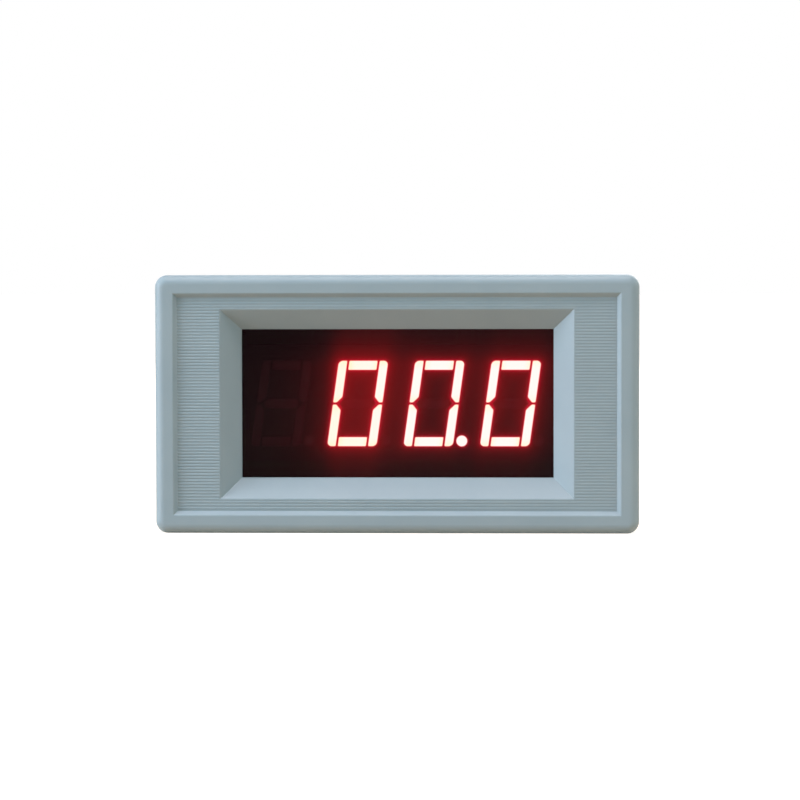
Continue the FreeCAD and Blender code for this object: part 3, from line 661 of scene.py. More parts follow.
@dataclass(frozen=True)
class BandedResistor(Finish):
    """Lacquered resistor that lies along Z, with painted rings and bare wire at both ends.

    Attributes:
        middle: Z of its middle.
        foot: height on Y below which the wire is bare.
        covered: share of the length that is lacquered.
        paint: share of the relief that the paint takes.
    """

    lacquer: Rgb
    rings: tuple[Rgb, ...]
    middle: float
    length: float
    foot: float
    covered: float = 0.994
    roughness: Span = (0.2, 0.4)
    paint: float = 0.7
    depth: float = 0.02 * MM

    def shade(self, shader: Shader) -> None:
        """Fills the material's node tree."""
        along = (shader.axes(shader.place)[2] - self.middle) / self.length
        low = shader.group(tinned_foot(), Place=shader.place, Level=self.foot)["Lead"]
        wire = shader.math("MAXIMUM", abs(along) > self.covered / 2, low)
        colours = {f"Ring {n}": ring for n, ring in enumerate(self.rings, 1)}
        painted = shader.group(resistor_bands(), Along=along + 0.5, Lacquer=self.lacquer, **colours)
        skin = shader.noise(shader.place, 900.0)
        shader.surface({
            "Base Color": shader.blend(wire, painted["Colour"], TINNED_LEAD),
            "Metallic": wire,
            "Roughness": shader.level(skin, *self.roughness),
            "Normal": shader.relief(painted["Paint"] * self.paint + skin * (1 - self.paint), self.depth),
        })


@dataclass(frozen=True)
class SleevedCan(Finish):
    """Electrolytic capacitor: shrunk sleeve with dashes on a pale stripe, and a bare end scored crosswise.

    Attributes:
        top: Y of its bare end.
        foot: height on Y at which its leads come out.
        lip: how deep the sleeve's edge lies below the end.
        bare: share of the radius that the sleeve leaves bare.
        stripe_from: share of the radius from which the stripe starts.
        dash_half: half the height of a dash, as a share of the radius.
        dash_share: share of a step that the dash takes.
        score: distance from the cross at which its groove starts to rise, and at which it ends.
    """

    axis: Span
    top: float
    foot: float
    radius: float
    sleeve: Rgb = (0.012, 0.014, 0.03)
    stripe: Rgb = (0.5, 0.52, 0.55)
    dash: Rgb = (0.02, 0.022, 0.04)
    metal: Rgb = (0.6, 0.61, 0.62)
    lip: float = 0.12 * MM
    bare: float = 0.86
    stripe_from: float = 0.35
    dash_half: float = 0.14
    dash_step: float = 1.7 * MM
    dash_share: float = 0.45
    score: Span = (0.06 * MM, 0.16 * MM)
    depth: float = 0.05 * MM
    roughness: Span = (0.2, 0.4)

    def shade(self, shader: Shader) -> None:
        """Fills the material's node tree."""
        y = shader.axes(shader.place)[1]
        across, up, reach = shader.from_axis(self.axis)
        end = (y > self.top - self.lip) * (reach < self.bare * self.radius)
        lead = shader.group(tinned_foot(), Place=shader.place, Level=self.foot)["Lead"]
        metal = shader.math("MAXIMUM", end, lead)
        stripe = across - abs(up) > self.stripe_from * self.radius
        period = shader.math("FRACT", y / self.dash_step)
        dash = (abs(up) < self.dash_half * self.radius) * (period < self.dash_share) * stripe
        sleeve = shader.blend(dash, shader.blend(stripe, self.sleeve, self.stripe), self.dash)
        cross = shader.math("MINIMUM", abs(across), abs(up))
        groove = end * shader.span(cross, *self.score, 1.0, 0.0)
        ripple = shader.noise(shader.place, 500.0)
        shader.surface({
            "Base Color": shader.blend(metal, sleeve, self.metal),
            "Metallic": metal,
            "Roughness": shader.level(ripple, *self.roughness),
            "Normal": shader.relief(ripple - groove, self.depth),
        })


@dataclass(frozen=True)
class MaskedBoard(Finish):
    """Glass-fibre board: solder mask over tracks on both faces, bare laminate on the cut edges."""

    mask: Rgb = (0.012, 0.10, 0.035)
    copper: Rgb = (0.03, 0.19, 0.06)
    laminate: Rgb = (0.34, 0.33, 0.14)
    pitch: float = 1.27 * MM
    weave: float = 2600.0
    roughness: Span = (0.25, 0.4)
    rougher_edge: float = 0.4
    track_share: float = 0.8
    depth: float = 0.035 * MM

    def shade(self, shader: Shader) -> None:
        """Fills the material's node tree."""
        track = shader.group(copper_tracks(), Place=shader.place, Step=self.pitch)["Track"]
        facing = shader.axes(shader.wire("NewGeometry", output="Normal"))[1]
        edge = abs(facing) < 0.5
        weave = shader.noise(shader.place, self.weave)
        height = track * self.track_share + weave * (1 - self.track_share)
        shader.surface({
            "Base Color": shader.blend(edge, shader.blend(track, self.mask, self.copper), self.laminate),
            "Roughness": edge * self.rougher_edge + shader.level(weave, *self.roughness),
            "Normal": shader.relief(height, self.depth),
        })


@dataclass(frozen=True)
class SmokedLens(Finish):
    """Polished smoked acrylic with a painted glow on its front: the haze of the lit digits' light.

    Attributes:
        front: Y of the middle of the sheet, in front of which the haze shows.
        glows: middle of each lit digit and strength of its wide haze.
        floor: painted light that it always gives, at the left and at the right.
        floor_x: X where the painted light of the left ends, and where that of the right begins.
        shade_x: X where the unlit module's shade over the haze is full, and where it ends.
        shaded: share of the haze that is left in that shade.
        bright_z: Z where the haze is weakest, and where it is strongest.
        cloudy: strength of the haze from its thinnest to its thickest clouds.
        wide: reach of the wide haze.
        close: reach of the haze round the bars, and close_level its strength at their edge.
        clouds: clouds of the haze per metre, as film is of the dust on the lens.
        bending: index by which it bends light.
    """

    tint: Rgb
    haze: Rgb
    front: float
    glows: tuple[Span, ...]
    floor: tuple[Rgb, Rgb]
    floor_x: Span = (-20.0 * MM, -5.0 * MM)
    shade_x: Span = (-12.6 * MM, -9.4 * MM)
    shaded: float = 0.5
    bright_z: Span = (-10.0 * MM, 10.0 * MM)
    bright: Span = (0.82, 1.22)
    cloudy: Span = (0.83, 1.18)
    wide: float = 3.6 * MM
    close: float = 1.2 * MM
    close_level: float = 0.09
    clouds: float = 160.0
    film: float = 420.0
    bending: float = 1.12
    roughness: Span = (0.015, 0.045)
    depth: float = 0.002 * MM

    def shade(self, shader: Shader) -> None:
        """Fills the material's node tree."""
        x, y, z = shader.axes(shader.place)
        before = y < self.front
        total = shader.level(shader.noise(shader.place, self.clouds), *self.cloudy) * before
        total *= shader.span(x, *self.shade_x, self.shaded, 1.0)
        total *= shader.span(z, *self.bright_z, *self.bright)
        falls = []
        for middle, level in self.glows:
            away = shader.group(zero_distance(), Place=shader.place, Middle=middle)
            falls.append(shader.fall(away["Box"], self.wide, level))
            falls.append(shader.fall(away["Edge"], self.close, self.close_level))
        # painted glow: the haze of the lit digits, as emission on the lens's front
        haze = shader.blend(total * sum(falls[1:], falls[0]), BLACK, self.haze)
        # painted light: faint emission over the whole front, weaker at the left than at the right
        floor = shader.blend(shader.span(x, *self.floor_x), *self.floor)
        film = shader.noise(shader.place, self.film, detail=3.0)
        shader.surface({
            "Base Color": self.tint,
            "Roughness": shader.level(film, *self.roughness),
            "IOR": self.bending,
            "Transmission Weight": 1.0,
            "Emission Color": shader.blend(before, haze, floor, "ADD"),
            "Emission Strength": 1.0,
            "Normal": shader.relief(film, self.depth),
        })


@dataclass(frozen=True)
class ModuleShell(Finish):
    """Shell of a digit module: matt dark print on the face, with a painted glow round the lit bars that
    stands in for their scattered light.

    Attributes:
        face: Y of the face.
        halo: colour of the painted glow.
        lit: middle of each lit digit.
        point: X and Z of the lit point.
        level: share of the halo at a bar's edge.
        print_depth: how far behind the face the print ends.
    """

    face: float
    halo: Rgb
    lit: tuple[float, ...]
    point: Span
    point_radius: float
    level: float = 0.3
    reach: float = 0.25 * MM
    strength: float = 8.0
    print_depth: float = 0.05 * MM
    printed: tuple[Rgb, Rgb] = ((0.030, 0.024, 0.026), (0.036, 0.029, 0.031))
    # painted shade: the shell's sides are coloured near black, darker than a grey moulding, so that lamp
    # light on their edges doesn't show through the lens
    moulding: Rgb = (0.045, 0.044, 0.044)
    roughness: Span = (0.55, 0.7)

    def shade(self, shader: Shader) -> None:
        """Fills the material's node tree."""
        y = shader.axes(shader.place)[1]
        # painted glow: emission on the shell's face that falls off with the distance to the nearest lit bar
        # or the lit point
        nearest = shader.math("MAXIMUM", shader.from_axis(self.point)[2] - self.point_radius, 0.0)
        for middle in self.lit:
            away = shader.group(zero_distance(), Place=shader.place, Middle=middle)["Edge"]
            nearest = shader.math("MINIMUM", nearest, away)
        front = y < self.face + self.print_depth
        painted_glow = shader.fall(nearest, self.reach, self.level) * front
        grain = shader.group(moulded_grain(), Place=shader.place, Grain=0.12 * MM, Flow=5.0 * MM)
        printed = shader.blend(grain["Flow"], *self.printed)
        shader.surface({
            "Base Color": shader.blend(front, self.moulding, printed),
            "Roughness": shader.span(grain["Height"], *NEARLY_ALL_NOISE, *self.roughness),
            "Emission Color": shader.blend(painted_glow, BLACK, self.halo),
            "Emission Strength": self.strength,
            "Normal": shader.relief(grain["Height"], 0.004 * MM),
        })


class BarState(Enum):
    """Whether a bar of a digit is lit; the value is its place among the material slots."""

    LIT = 0
    DARK = 1


@dataclass(frozen=True)
class LitResin(Finish):
    """Diffusing resin of a lit bar: red at the very edge, near white inside, a little yellow at the ends.

    Attributes:
        middle: light of a bar's middle, as end is of its ends and rim of its very edge.
        rim_width: width of the rim, in millimetres.
        resin: colour of the resin itself, in the middle and at the ends.
        ends: reach from which the ends' light starts, and at which it would be full.
        drift: how far the clouds in the resin shift that reach.
        warm_x: X where the resin is yellowest, and where it no longer is.
        warmth: how far it is towards the ends' light there.
    """

    middle: Rgb = (0.68, 0.965, 0.86)
    end: Rgb = (0.70, 0.93, 0.62)
    rim: Rgb = (0.45, 0.03, 0.045)
    rim_width: float = 0.15
    resin: tuple[Rgb, Rgb] = ((0.62, 0.30, 0.29), (0.60, 0.28, 0.27))
    strength: float = 11.8
    ends: Span = (0.5, 1.25)
    drift: float = 0.5
    warm_x: Span = (-10.0 * MM, 1.0 * MM)
    warmth: float = 0.45
    roughness: Span = (0.3, 0.5)

    def shade(self, shader: Shader) -> None:
        """Fills the material's node tree."""
        cloud = shader.noise(shader.place, 420.0)
        reach = shader.value("bar_reach") + shader.level(cloud, -self.drift / 2, self.drift / 2)
        warm = shader.span(shader.axes(shader.place)[0], *self.warm_x, self.warmth, 0.0)
        towards = shader.math("ADD", shader.span(reach, *self.ends), warm, clamp=True)
        inside = shader.span(shader.value("bar_inset"), 0.0, self.rim_width)
        shader.surface({
            "Base Color": shader.blend(towards, *self.resin),
            "Roughness": shader.level(cloud, *self.roughness),
            "Emission Color": shader.blend(inside, self.rim, shader.blend(towards, self.middle, self.end)),
            "Emission Strength": self.strength,
        })


@dataclass(frozen=True)
class DarkResin(Finish):
    """Diffusing resin of an unlit bar, with the share of its colour that its clouds and its rim have.

    The width of the rim is in millimetres.
    """

    colour: Rgb = (0.34, 0.12, 0.16)
    cloud: float = 0.88
    rim: float = 0.6
    rim_width: float = 0.12

    def shade(self, shader: Shader) -> None:
        """Fills the material's node tree."""
        grain = shader.group(moulded_grain(), Place=shader.place, Grain=0.3 * MM, Flow=2.0 * MM)
        cloud, rim = (tuple(share * part for part in self.colour) for share in (self.cloud, self.rim))
        inside = shader.span(shader.value("bar_inset"), 0.0, self.rim_width)
        shader.surface({
            "Base Color": shader.blend(inside, rim, shader.blend(grain["Flow"], self.colour, cloud)),
            "Roughness": 0.35,
            "Normal": shader.relief(grain["Height"], 0.01 * MM),
        })


def rounded_outline(corners: np.ndarray, radii: np.ndarray, samples: int, arc_points: int = 9) -> np.ndarray:
    """Outline of a convex shape with round corners, as evenly spaced points.

    At each corner an arc of the given radius touches both sides: its middle lies on the corner's bisector at
    the radius over the sine of half the corner's angle. The arcs are joined, and the closed line is read at
    even steps.

    Args:
        corners: the corners in order, one row of two numbers each.
        radii: radius at each corner.
        samples: how many points the outline gets.
        arc_points: how many points an arc has before the line is read.

    Returns:
        The points, one row each.
    """
    before = np.roll(corners, 1, axis=0) - corners
    after = np.roll(corners, -1, axis=0) - corners
    before /= np.linalg.norm(before, axis=1, keepdims=True)
    after /= np.linalg.norm(after, axis=1, keepdims=True)
    bisector = before + after
    bisector /= np.linalg.norm(bisector, axis=1, keepdims=True)
    half = np.arccos(np.clip((before * after).sum(axis=1), -1.0, 1.0)) / 2
    middles = corners + bisector * (radii / np.sin(half))[:, None]
    sweep = np.linspace(-1.0, 1.0, arc_points)[None, :] * (np.pi / 2 - half)[:, None]
    turning = np.sign(before[:, 0] * after[:, 1] - before[:, 1] * after[:, 0])[:, None]
    cos, sin = np.cos(sweep), np.sin(sweep) * -turning
    x, z = -bisector[:, :1], -bisector[:, 1:]
    arcs = np.stack([cos * x - sin * z, sin * x + cos * z], axis=2)
    line = (middles[:, None, :] + arcs * radii[:, None, None]).reshape(-1, 2)
    closed = np.vstack([line, line[:1]])
    length = np.concatenate([[0.0], np.cumsum(np.linalg.norm(np.diff(closed, axis=0), axis=1))])
    steps = np.linspace(0.0, length[-1], samples, endpoint=False)
    return np.stack([np.interp(steps, length, closed[:, n]) for n in (0, 1)], axis=1)


def edge_distance(points: np.ndarray, outline: np.ndarray) -> np.ndarray:
    """Distance of each point inside a convex outline to its nearest side.

    Args:
        points: the points, with two numbers in the last axis.
        outline: the outline's points in order.

    Returns:
        The distances, in the shape of the points.
    """
    run = np.roll(outline, -1, axis=0) - outline
    across = np.stack([-run[:, 1], run[:, 0]], axis=1) / np.linalg.norm(run, axis=1, keepdims=True)
    return np.abs(((points[..., None, :] - outline) * across).sum(axis=-1)).min(axis=-1)


def add_object(name: str, data: bpy.types.ID) -> bpy.types.Object:
    """Puts an object in the scene.

    Args:
        name: its name.
        data: its mesh, lamp or camera.

    Returns:
        The object, at the origin.
    """
    made = bpy.data.objects.new(name, data)
    bpy.context.scene.collection.objects.link(made)
    return made


@dataclass
class MeshSheet:
    """Points, faces and values of a piece, gathered part by part and then made one mesh."""

    points: list[np.ndarray] = field(default_factory=list)
    faces: list[list[int]] = field(default_factory=list)
    slots: list[int] = field(default_factory=list)
    values: dict[str, list[np.ndarray]] = field(default_factory=dict)
    count: int = 0
    sharp: float = math.radians(35.0)

    def add_rings(self, rings: np.ndarray, state: BarState, **values: np.ndarray) -> None:
        """Adds a closed body of rings: a face between neighbours on each two rings, and a cap on both ends.

        Args:
            rings: points of each ring, in the shape (rings, points in a ring, 3).
            state: whether the body is lit, which gives the place of its material.
            **values: a value for each point, in the shape (rings, points in a ring).
        """
        levels, around, _ = rings.shape
        index = np.arange(levels * around).reshape(levels, around) + self.count
        after = np.roll(index, -1, axis=1)
        quads = np.stack([index[:-1], after[:-1], after[1:], index[1:]], axis=-1).reshape(-1, 4)
        self.points.append(rings.reshape(-1, 3))
        self.faces += quads.tolist() + [index[0][::-1].tolist(), index[-1].tolist()]
        self.slots += [state.value] * (len(quads) + 2)
        for name, value in values.items():
            self.values.setdefault(name, []).append(value.reshape(-1))
        self.count += levels * around

    def make(self, name: str, materials: Sequence[Material]) -> bpy.types.Object:
        """Makes the piece, shaded round save at its sharp edges.

        Args:
            name: its name.
            materials: its materials, in the order of their places.

        Returns:
            The object, at the origin, with its faces turned outwards.
        """
        mesh = bpy.data.meshes.new(name)
        mesh.from_pydata(np.vstack(self.points).tolist(), [], self.faces)
        for material in materials:
            mesh.materials.append(material)
        mesh.polygons.foreach_set("material_index", np.array(self.slots, np.int32))
        for label, parts in self.values.items():
            attribute = mesh.attributes.new(label, "FLOAT", "POINT")
            attribute.data.foreach_set("value", np.concatenate(parts).astype(np.float32))
        mesh.polygons.foreach_set("use_smooth", np.full(len(self.faces), True))
        mesh.update()
        turn_outwards(mesh)
        mesh.set_sharp_from_angle(angle=self.sharp)
        return add_object(name, mesh)


def turn_outwards(mesh: bpy.types.Mesh) -> None:
    """Turns the faces of closed bodies outwards.

    Args:
        mesh: the mesh, which is changed.
    """
    work = bmesh.new()
    work.from_mesh(mesh)
    bmesh.ops.recalc_face_normals(work, faces=work.faces)
    work.to_mesh(mesh)
    work.free()


@dataclass(frozen=True)
class BarShape:
    """One bar of a digit, in the character's own units.

    Attributes:
        corners: its corners, as across and up.
        radii: radius at each corner.
        state: whether it is lit.
    """

    corners: tuple[Span, ...]
    radii: tuple[float, ...]
    state: BarState


@dataclass
class SubAssembly(ABC):
    """A sub-assembly of the meter, which builds and dresses its own pieces from the CAD nodes."""

    nodes: Mapping[str, bpy.types.Object]

    @abstractmethod
    def build(self) -> None:
        """Builds and dresses the pieces."""

    def dress(self, finish: Finish, material: str, *names: str) -> None:
        """Gives every material slot of some nodes the same material.

        Args:
            finish: the material's finish.
            material: the material's name.
            *names: the nodes' names.
        """
        made = finish.material(material)
        for name in names:
            piece = self.nodes[name]
            if not piece.material_slots:
                piece.data.materials.append(made)
            for slot in piece.material_slots:
                slot.material = made
            LOG.info("%s: %s", name, material)


@dataclass
class DigitRow(SubAssembly):
    """The four digit modules: their shells, their pins and the resin bars that show as digits.

    Attributes:
        shift: how far the characters stand from the modules' middles, across and up.
        upright: width of an upright bar, as level is of a level one.
        tip: how far the uprights' ends are cut back towards the middle bar.
        block_corner: radius of the corners of the resin behind the bars.
        meniscus: how deep the resin sinks in a bar's middle.
        inward: shares of the way from a bar's outline to its spine at which its rings lie.
    """

    count: int = 4
    width: float = 12.6 * MM
    height: float = 19.0 * MM
    wall: float = 0.8 * MM
    pipe_length: float = 3.2 * MM
    figure_width: float = 8.25 * MM
    figure_height: float = 14.2 * MM
    shift: Span = (-0.36 * MM, -0.1 * MM)
    upright: float = 1.5 * MM
    level: float = 1.6 * MM
    gap: float = 0.25 * MM
    tip: float = 0.65 * MM
    corner: float = 0.75 * MM
    small_corner: float = 0.18 * MM
    block_corner: float = 0.2 * MM
    point_radius: float = 0.95 * MM
    point_place: Span = (4.565 * MM, -6.18 * MM)
    point_reach: float = 0.3
    lit_modules: tuple[int, ...] = (2, 3, 4)
    pointed_module: int = 3
    meniscus: float = 0.05 * MM
    meniscus_reach: float = 0.12 * MM
    inward: tuple[float, ...] = (0.0, 0.04, 0.09, 0.15, 0.22, 0.32, 0.48, 0.7, 0.93)
    bar_points: int = 88
    block_points: int = 64
    round_points: int = 48
    face: float = 0.0
    back: float = 0.0

    def __post_init__(self) -> None:
        """Takes the depth of the modules from the CAD."""
        low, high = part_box("digit_shell_1")
        self.face, self.back = low.y, high.y

    def middle(self, n: int) -> float:
        """X of the middle of the character on module n, counted from 1."""
        return (n - (self.count + 1) / 2) * self.width + self.shift[0]

    def point(self, n: int) -> Span:
        """X and Z of the point's middle on module n."""
        return self.middle(n) + self.point_place[0], self.shift[1] + self.point_place[1]

    def bars(self, n: int) -> list[BarShape]:
        """Bars of module n.

        Args:
            n: the module, counted from 1.

        Returns:
            The seven bars. The last is the middle one, which a zero leaves dark.
        """
        lit = BarState.LIT if n in self.lit_modules else BarState.DARK
        half, top, arm = self.figure_width / 2, self.figure_height / 2, self.level / 2
        inner = half - self.upright
        end, nose = inner - self.gap, half - self.tip - 2 * self.gap
        small, large = self.small_corner, self.corner
        upright = ((half, self.gap / 2), (half - self.tip, self.gap / 2), (inner, arm + self.gap),
                   (inner, top), (half, top))
        level = ((-end, top - self.level), (end, top - self.level), (end, top), (-end, top))
        shapes = []
        for up in (-1, 1):
            for side in (-1, 1):
                corners = tuple((side * x, up * z) for x, z in upright)
                shapes.append(BarShape(corners, (small, small, 2 * small, small, large), lit))
            shapes.append(BarShape(tuple((x, up * z) for x, z in level), (small,) * 4, lit))
        centre = ((-nose, 0.0), (-end, arm), (end, arm), (nose, 0.0), (end, -arm), (-end, -arm))
        shapes.append(BarShape(centre, (small,) * 6, BarState.DARK))
        return shapes

    def bar_rings(self, outline: np.ndarray) -> tuple[np.ndarray, np.ndarray, np.ndarray]:
        """Rings of a bar from its back to its face and in towards its spine, with their values.

        The face's point at share s lies on the line from the outline to the spine, and sinks by the meniscus
        times one less the exponential of minus its distance to the edge over the meniscus's reach.

        Args:
            outline: the bar's outline in character units.

        Returns:
            The rings, their distance to the edge in millimetres, and their reach from the middle to the ends.
        """
        centre = (outline.min(axis=0) + outline.max(axis=0)) / 2
        half = (outline.max(axis=0) - outline.min(axis=0)) / 2
        long = int(half[1] > half[0])
        spine_half = half[long] - half[1 - long]
        spine = np.tile(centre, (len(outline), 1))
        spine[:, long] += np.clip(outline[:, long] - centre[long], -spine_half, spine_half)
        shares = np.array(self.inward)[:, None, None]
        flat = outline[None] * (1 - shares) + spine[None] * shares
        inset = edge_distance(flat, outline)
        depth = self.face + self.meniscus * (1 - np.exp(-inset / self.meniscus_reach))
        depth = np.vstack([np.full((1, len(outline)), self.face + self.pipe_length), depth])
        flat = np.concatenate([flat[:1], flat])
        inset = np.vstack([inset[:1], inset])
        reach = np.abs(flat[..., long] - centre[long]) / half[long]
        return np.stack([flat[..., 0], depth, flat[..., 1]], axis=-1), inset / MM, reach

    def build_bars(self, n: int, materials: Sequence[Material]) -> None:
        """Makes the bars, the point and the resin behind them of one module, which stand for its CAD resin.

        Args:
            n: the module, counted from 1.
            materials: the lit and the dark resin.
        """
        sheet = MeshSheet()
        for bar in self.bars(n):
            outline = rounded_outline(np.array(bar.corners), np.array(bar.radii), self.bar_points)
            rings, inset, reach = self.bar_rings(outline)
            rings[..., 0] += self.middle(n) + rings[..., 2] * ZERO.lean
            rings[..., 2] += self.shift[1]
            sheet.add_rings(rings, bar.state, bar_inset=inset, bar_reach=reach)
        turn = np.linspace(0.0, math.tau, self.round_points, endpoint=False)
        circle = np.stack([np.cos(turn), np.sin(turn)], axis=1) * self.point_radius
        rings, inset, reach = self.bar_rings(circle)
        rings[..., (0, 2)] += self.point(n)
        lit = BarState.LIT if n == self.pointed_module else BarState.DARK
        sheet.add_rings(rings, lit, bar_inset=inset, bar_reach=self.point_reach * reach)
        self.add_filling(sheet, n)
        piece = sheet.make(f"digit_{n}_resin", materials)
        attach(piece, CASE)
        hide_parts(f"digit_light_pipes_{n}")
        LOG.info("%s: %d faces", piece.name, len(piece.data.polygons))

    def add_filling(self, sheet: MeshSheet, n: int) -> None:
        """Adds the resin that fills the shell behind the bars: a rounded outline carried straight back.

        Args:
            sheet: what the block is added to.
            n: the module, counted from 1.
        """
        half_x, half_z = self.width / 2 - self.wall, self.height / 2 - self.wall
        corners = np.array([(-half_x, -half_z), (half_x, -half_z), (half_x, half_z), (-half_x, half_z)])
        outline = rounded_outline(corners, np.full(4, self.block_corner), self.block_points)
        rings = np.empty((2, len(outline), 3))
        rings[..., 0] = outline[:, 0] + self.middle(n) - self.shift[0]
        rings[..., 1] = np.array([self.face + self.pipe_length, self.back])[:, None]
        rings[..., 2] = outline[:, 1]
        even = np.ones(rings.shape[:2])
        sheet.add_rings(rings, BarState.DARK, bar_inset=even, bar_reach=even)

    def build(self) -> None:
        """Builds and dresses all modules."""
        modules = range(1, self.count + 1)
        lit = tuple(self.middle(n) for n in self.lit_modules)
        point = self.point(self.pointed_module)
        # the shells' faces get a painted red glow round the lit bars and the lit point
        shell = ModuleShell(self.face, (1.0, 0.02, 0.075), lit, point, self.point_radius)
        pins = PlatedSheet((0.66, 0.66, 0.63), (0.5, 0.5, 0.47))
        self.dress(shell, "module shell", *(f"digit_shell_{n}" for n in modules))
        self.dress(pins, "tinned pin", *(f"digit_pins_{n}" for n in modules))
        resins = [LitResin().material("lit resin"), DarkResin().material("unlit resin")]
        for n in modules:
            self.build_bars(n, resins)


def upright_axis(name: str) -> Span:
    """X and Z of the axis along Y through the middle of a piece."""
    low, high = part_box(name)
    return (low.x + high.x) / 2, (low.z + high.z) / 2


@dataclass
class Enclosure(SubAssembly):
    """The light grey mouldings, the cover's screws, and the lens with the level of its painted haze glow at
    each lit digit.
    """

    digits: DigitRow
    grey: tuple[Rgb, Rgb] = ((0.300, 0.372, 0.398), (0.284, 0.356, 0.384))
    tint: Rgb = (0.13, 0.085, 0.09)
    # painted glow of the lens: colour of its haze, its level at each lit digit, and the faint light over its
    # whole front
    haze: Rgb = (1.0, 0.006, 0.010)
    levels: tuple[float, ...] = (0.122, 0.03, 0.06)
    floor: tuple[Rgb, Rgb] = ((0.0032, 0.0004, 0.0009), (0.0042, 0.0022, 0.0029))

    def build(self) -> None:
        """Dresses the housing, the cover, the lens and the cover's screws."""
        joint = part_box("front_housing")[1].y
        self.dress(RibbedPlastic(*self.grey, joint=joint), "housing plastic", "front_housing")
        self.dress(JointedPlastic(*self.grey, joint=joint), "cover plastic", "rear_cover")
        low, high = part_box("window_lens")
        middles = map(self.digits.middle, self.digits.lit_modules)
        glows = tuple(zip(middles, self.levels, strict=True))
        lens = SmokedLens(self.tint, self.haze, (low.y + high.y) / 2, glows, self.floor)
        self.dress(lens, "smoked lens", "window_lens")
        screw = PlatedSheet((0.56, 0.57, 0.58), (0.44, 0.45, 0.45), (0.2, 0.38), (1.0, 1.0, 1.0))
        self.dress(screw, "zinc screw", "cover_screws")


class Paint(Enum):
    """Paints of a resistor's rings."""

    BLACK = (0.008, 0.008, 0.008)
    BROWN = (0.09, 0.028, 0.012)
    RED = (0.42, 0.012, 0.010)
    ORANGE = (0.70, 0.13, 0.010)
    YELLOW = (0.72, 0.52, 0.02)
    GREEN = (0.02, 0.20, 0.045)
    VIOLET = (0.13, 0.03, 0.30)
    GREY = (0.22, 0.22, 0.22)


@dataclass
class BoardStack(SubAssembly):
    """The two boards, what joins them and the parts on the main board, with the resistors' codes."""

    resistor_length: float = 6.2 * MM
    codes: tuple[str, ...] = (
        "brown black black red brown", "yellow violet black brown brown", "red red black red brown",
        "orange orange black black brown", "brown green black orange brown", "green grey black brown brown",
    )

    def build(self) -> None:
        """Dresses the boards and their parts."""
        black = MouldedPlastic((0.018, 0.018, 0.020), (0.023, 0.023, 0.025), 0.55)
        gilt = PlatedSheet((0.80, 0.60, 0.25), (0.70, 0.50, 0.20))
        leads = PlatedSheet((0.66, 0.66, 0.63), (0.52, 0.52, 0.50))
        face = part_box("trimmer_rotor")[1].y
        # the rotor's slot gets painted shade below its face
        rotor = SlottedPlastic((0.70, 0.70, 0.66), (0.64, 0.64, 0.60), 0.4, face=face)
        self.dress(MaskedBoard(), "masked board", "display_board", "main_board")
        self.dress(black, "black moulding", "left_header", "right_header", "converter_chip")
        self.dress(gilt, "gilt pin", "left_header_pins", "right_header_pins")
        self.dress(leads, "tinned lead", "converter_chip_leads")
        self.dress(rotor, "trimmer rotor", "trimmer_rotor")
        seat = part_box("main_board")[1].y
        self.dress_leaded(seat)
        self.dress_cans(seat)
        self.dress_resistors(seat)

    def dress_leaded(self, seat: float) -> None:
        """Dresses the parts whose leads are in the same solid.

        Args:
            seat: Y of the main board's face.
        """
        film = LeadedPart((0.33, 0.035, 0.02), (0.27, 0.026, 0.016), seat + 0.02 * MM)
        disc = LeadedPart((0.55, 0.24, 0.05), (0.47, 0.19, 0.035), seat + 0.6 * MM)
        regulator = LeadedPart((0.018, 0.018, 0.020), (0.024, 0.024, 0.026), seat + 1.6 * MM,
                               (0.46, 0.58), wave=0.2 * MM, depth=0.005 * MM)
        trimmer = LeadedPart((0.02, 0.08, 0.36), (0.018, 0.07, 0.31), seat + 0.02 * MM,
                             (0.31, 0.43), wave=0.3 * MM, depth=0.006 * MM)
        self.dress(film, "film capacitor", *(f"film_capacitor_{n}" for n in (1, 2, 3)))
        self.dress(disc, "dipped disc", "disc_capacitor")
        self.dress(regulator, "regulator body", "voltage_regulator")
        self.dress(trimmer, "trimmer body", "trimmer_body")

    def dress_cans(self, seat: float) -> None:
        """Dresses the electrolytic capacitors.

        Args:
            seat: Y of the main board's face.
        """
        for n in (1, 2):
            name = f"electrolytic_capacitor_{n}"
            low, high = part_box(name)
            can = SleevedCan(upright_axis(name), high.y, seat + 0.3 * MM, (high.x - low.x) / 2)
            self.dress(can, f"sleeved can {n}", name)

    def dress_resistors(self, seat: float) -> None:
        """Dresses the resistors, each with the rings of its code.

        Args:
            seat: Y of the main board's face.
        """
        lacquer, foot = (0.06, 0.22, 0.42), seat + 0.1 * MM
        for n, code in enumerate(self.codes, 1):
            rings = tuple(Paint[paint.upper()].value for paint in code.split())
            middle = upright_axis(f"resistor_{n}")[1]
            finish = BandedResistor(lacquer, rings, middle, self.resistor_length, foot)
            self.dress(finish, f"resistor {n}", f"resistor_{n}")


@dataclass
class TerminalBlock(SubAssembly):
    """The barrier strip with its contacts, clamp washers and screws."""

    poles: int = 5
    nickel: Rgb = (0.66, 0.64, 0.60)

    def build(self) -> None:
        """Dresses the strip and its metal."""
        black = MouldedPlastic((0.014, 0.014, 0.015), (0.019, 0.019, 0.020), 0.45)
        self.dress(black, "strip moulding", "terminal_strip")
        poles = range(1, self.poles + 1)
        plated = (f"terminal_{piece}_{n}" for piece in ("washer", "contact") for n in poles)
        self.dress(PlatedSheet(self.nickel, (0.55, 0.53, 0.49)), "nickel plate", *plated)
        for n in poles:
            screw = TurnedMetal(self.nickel, (0.56, 0.54, 0.50), upright_axis(f"terminal_screw_{n}"))
            self.dress(screw, f"clamp screw {n}", f"terminal_screw_{n}")


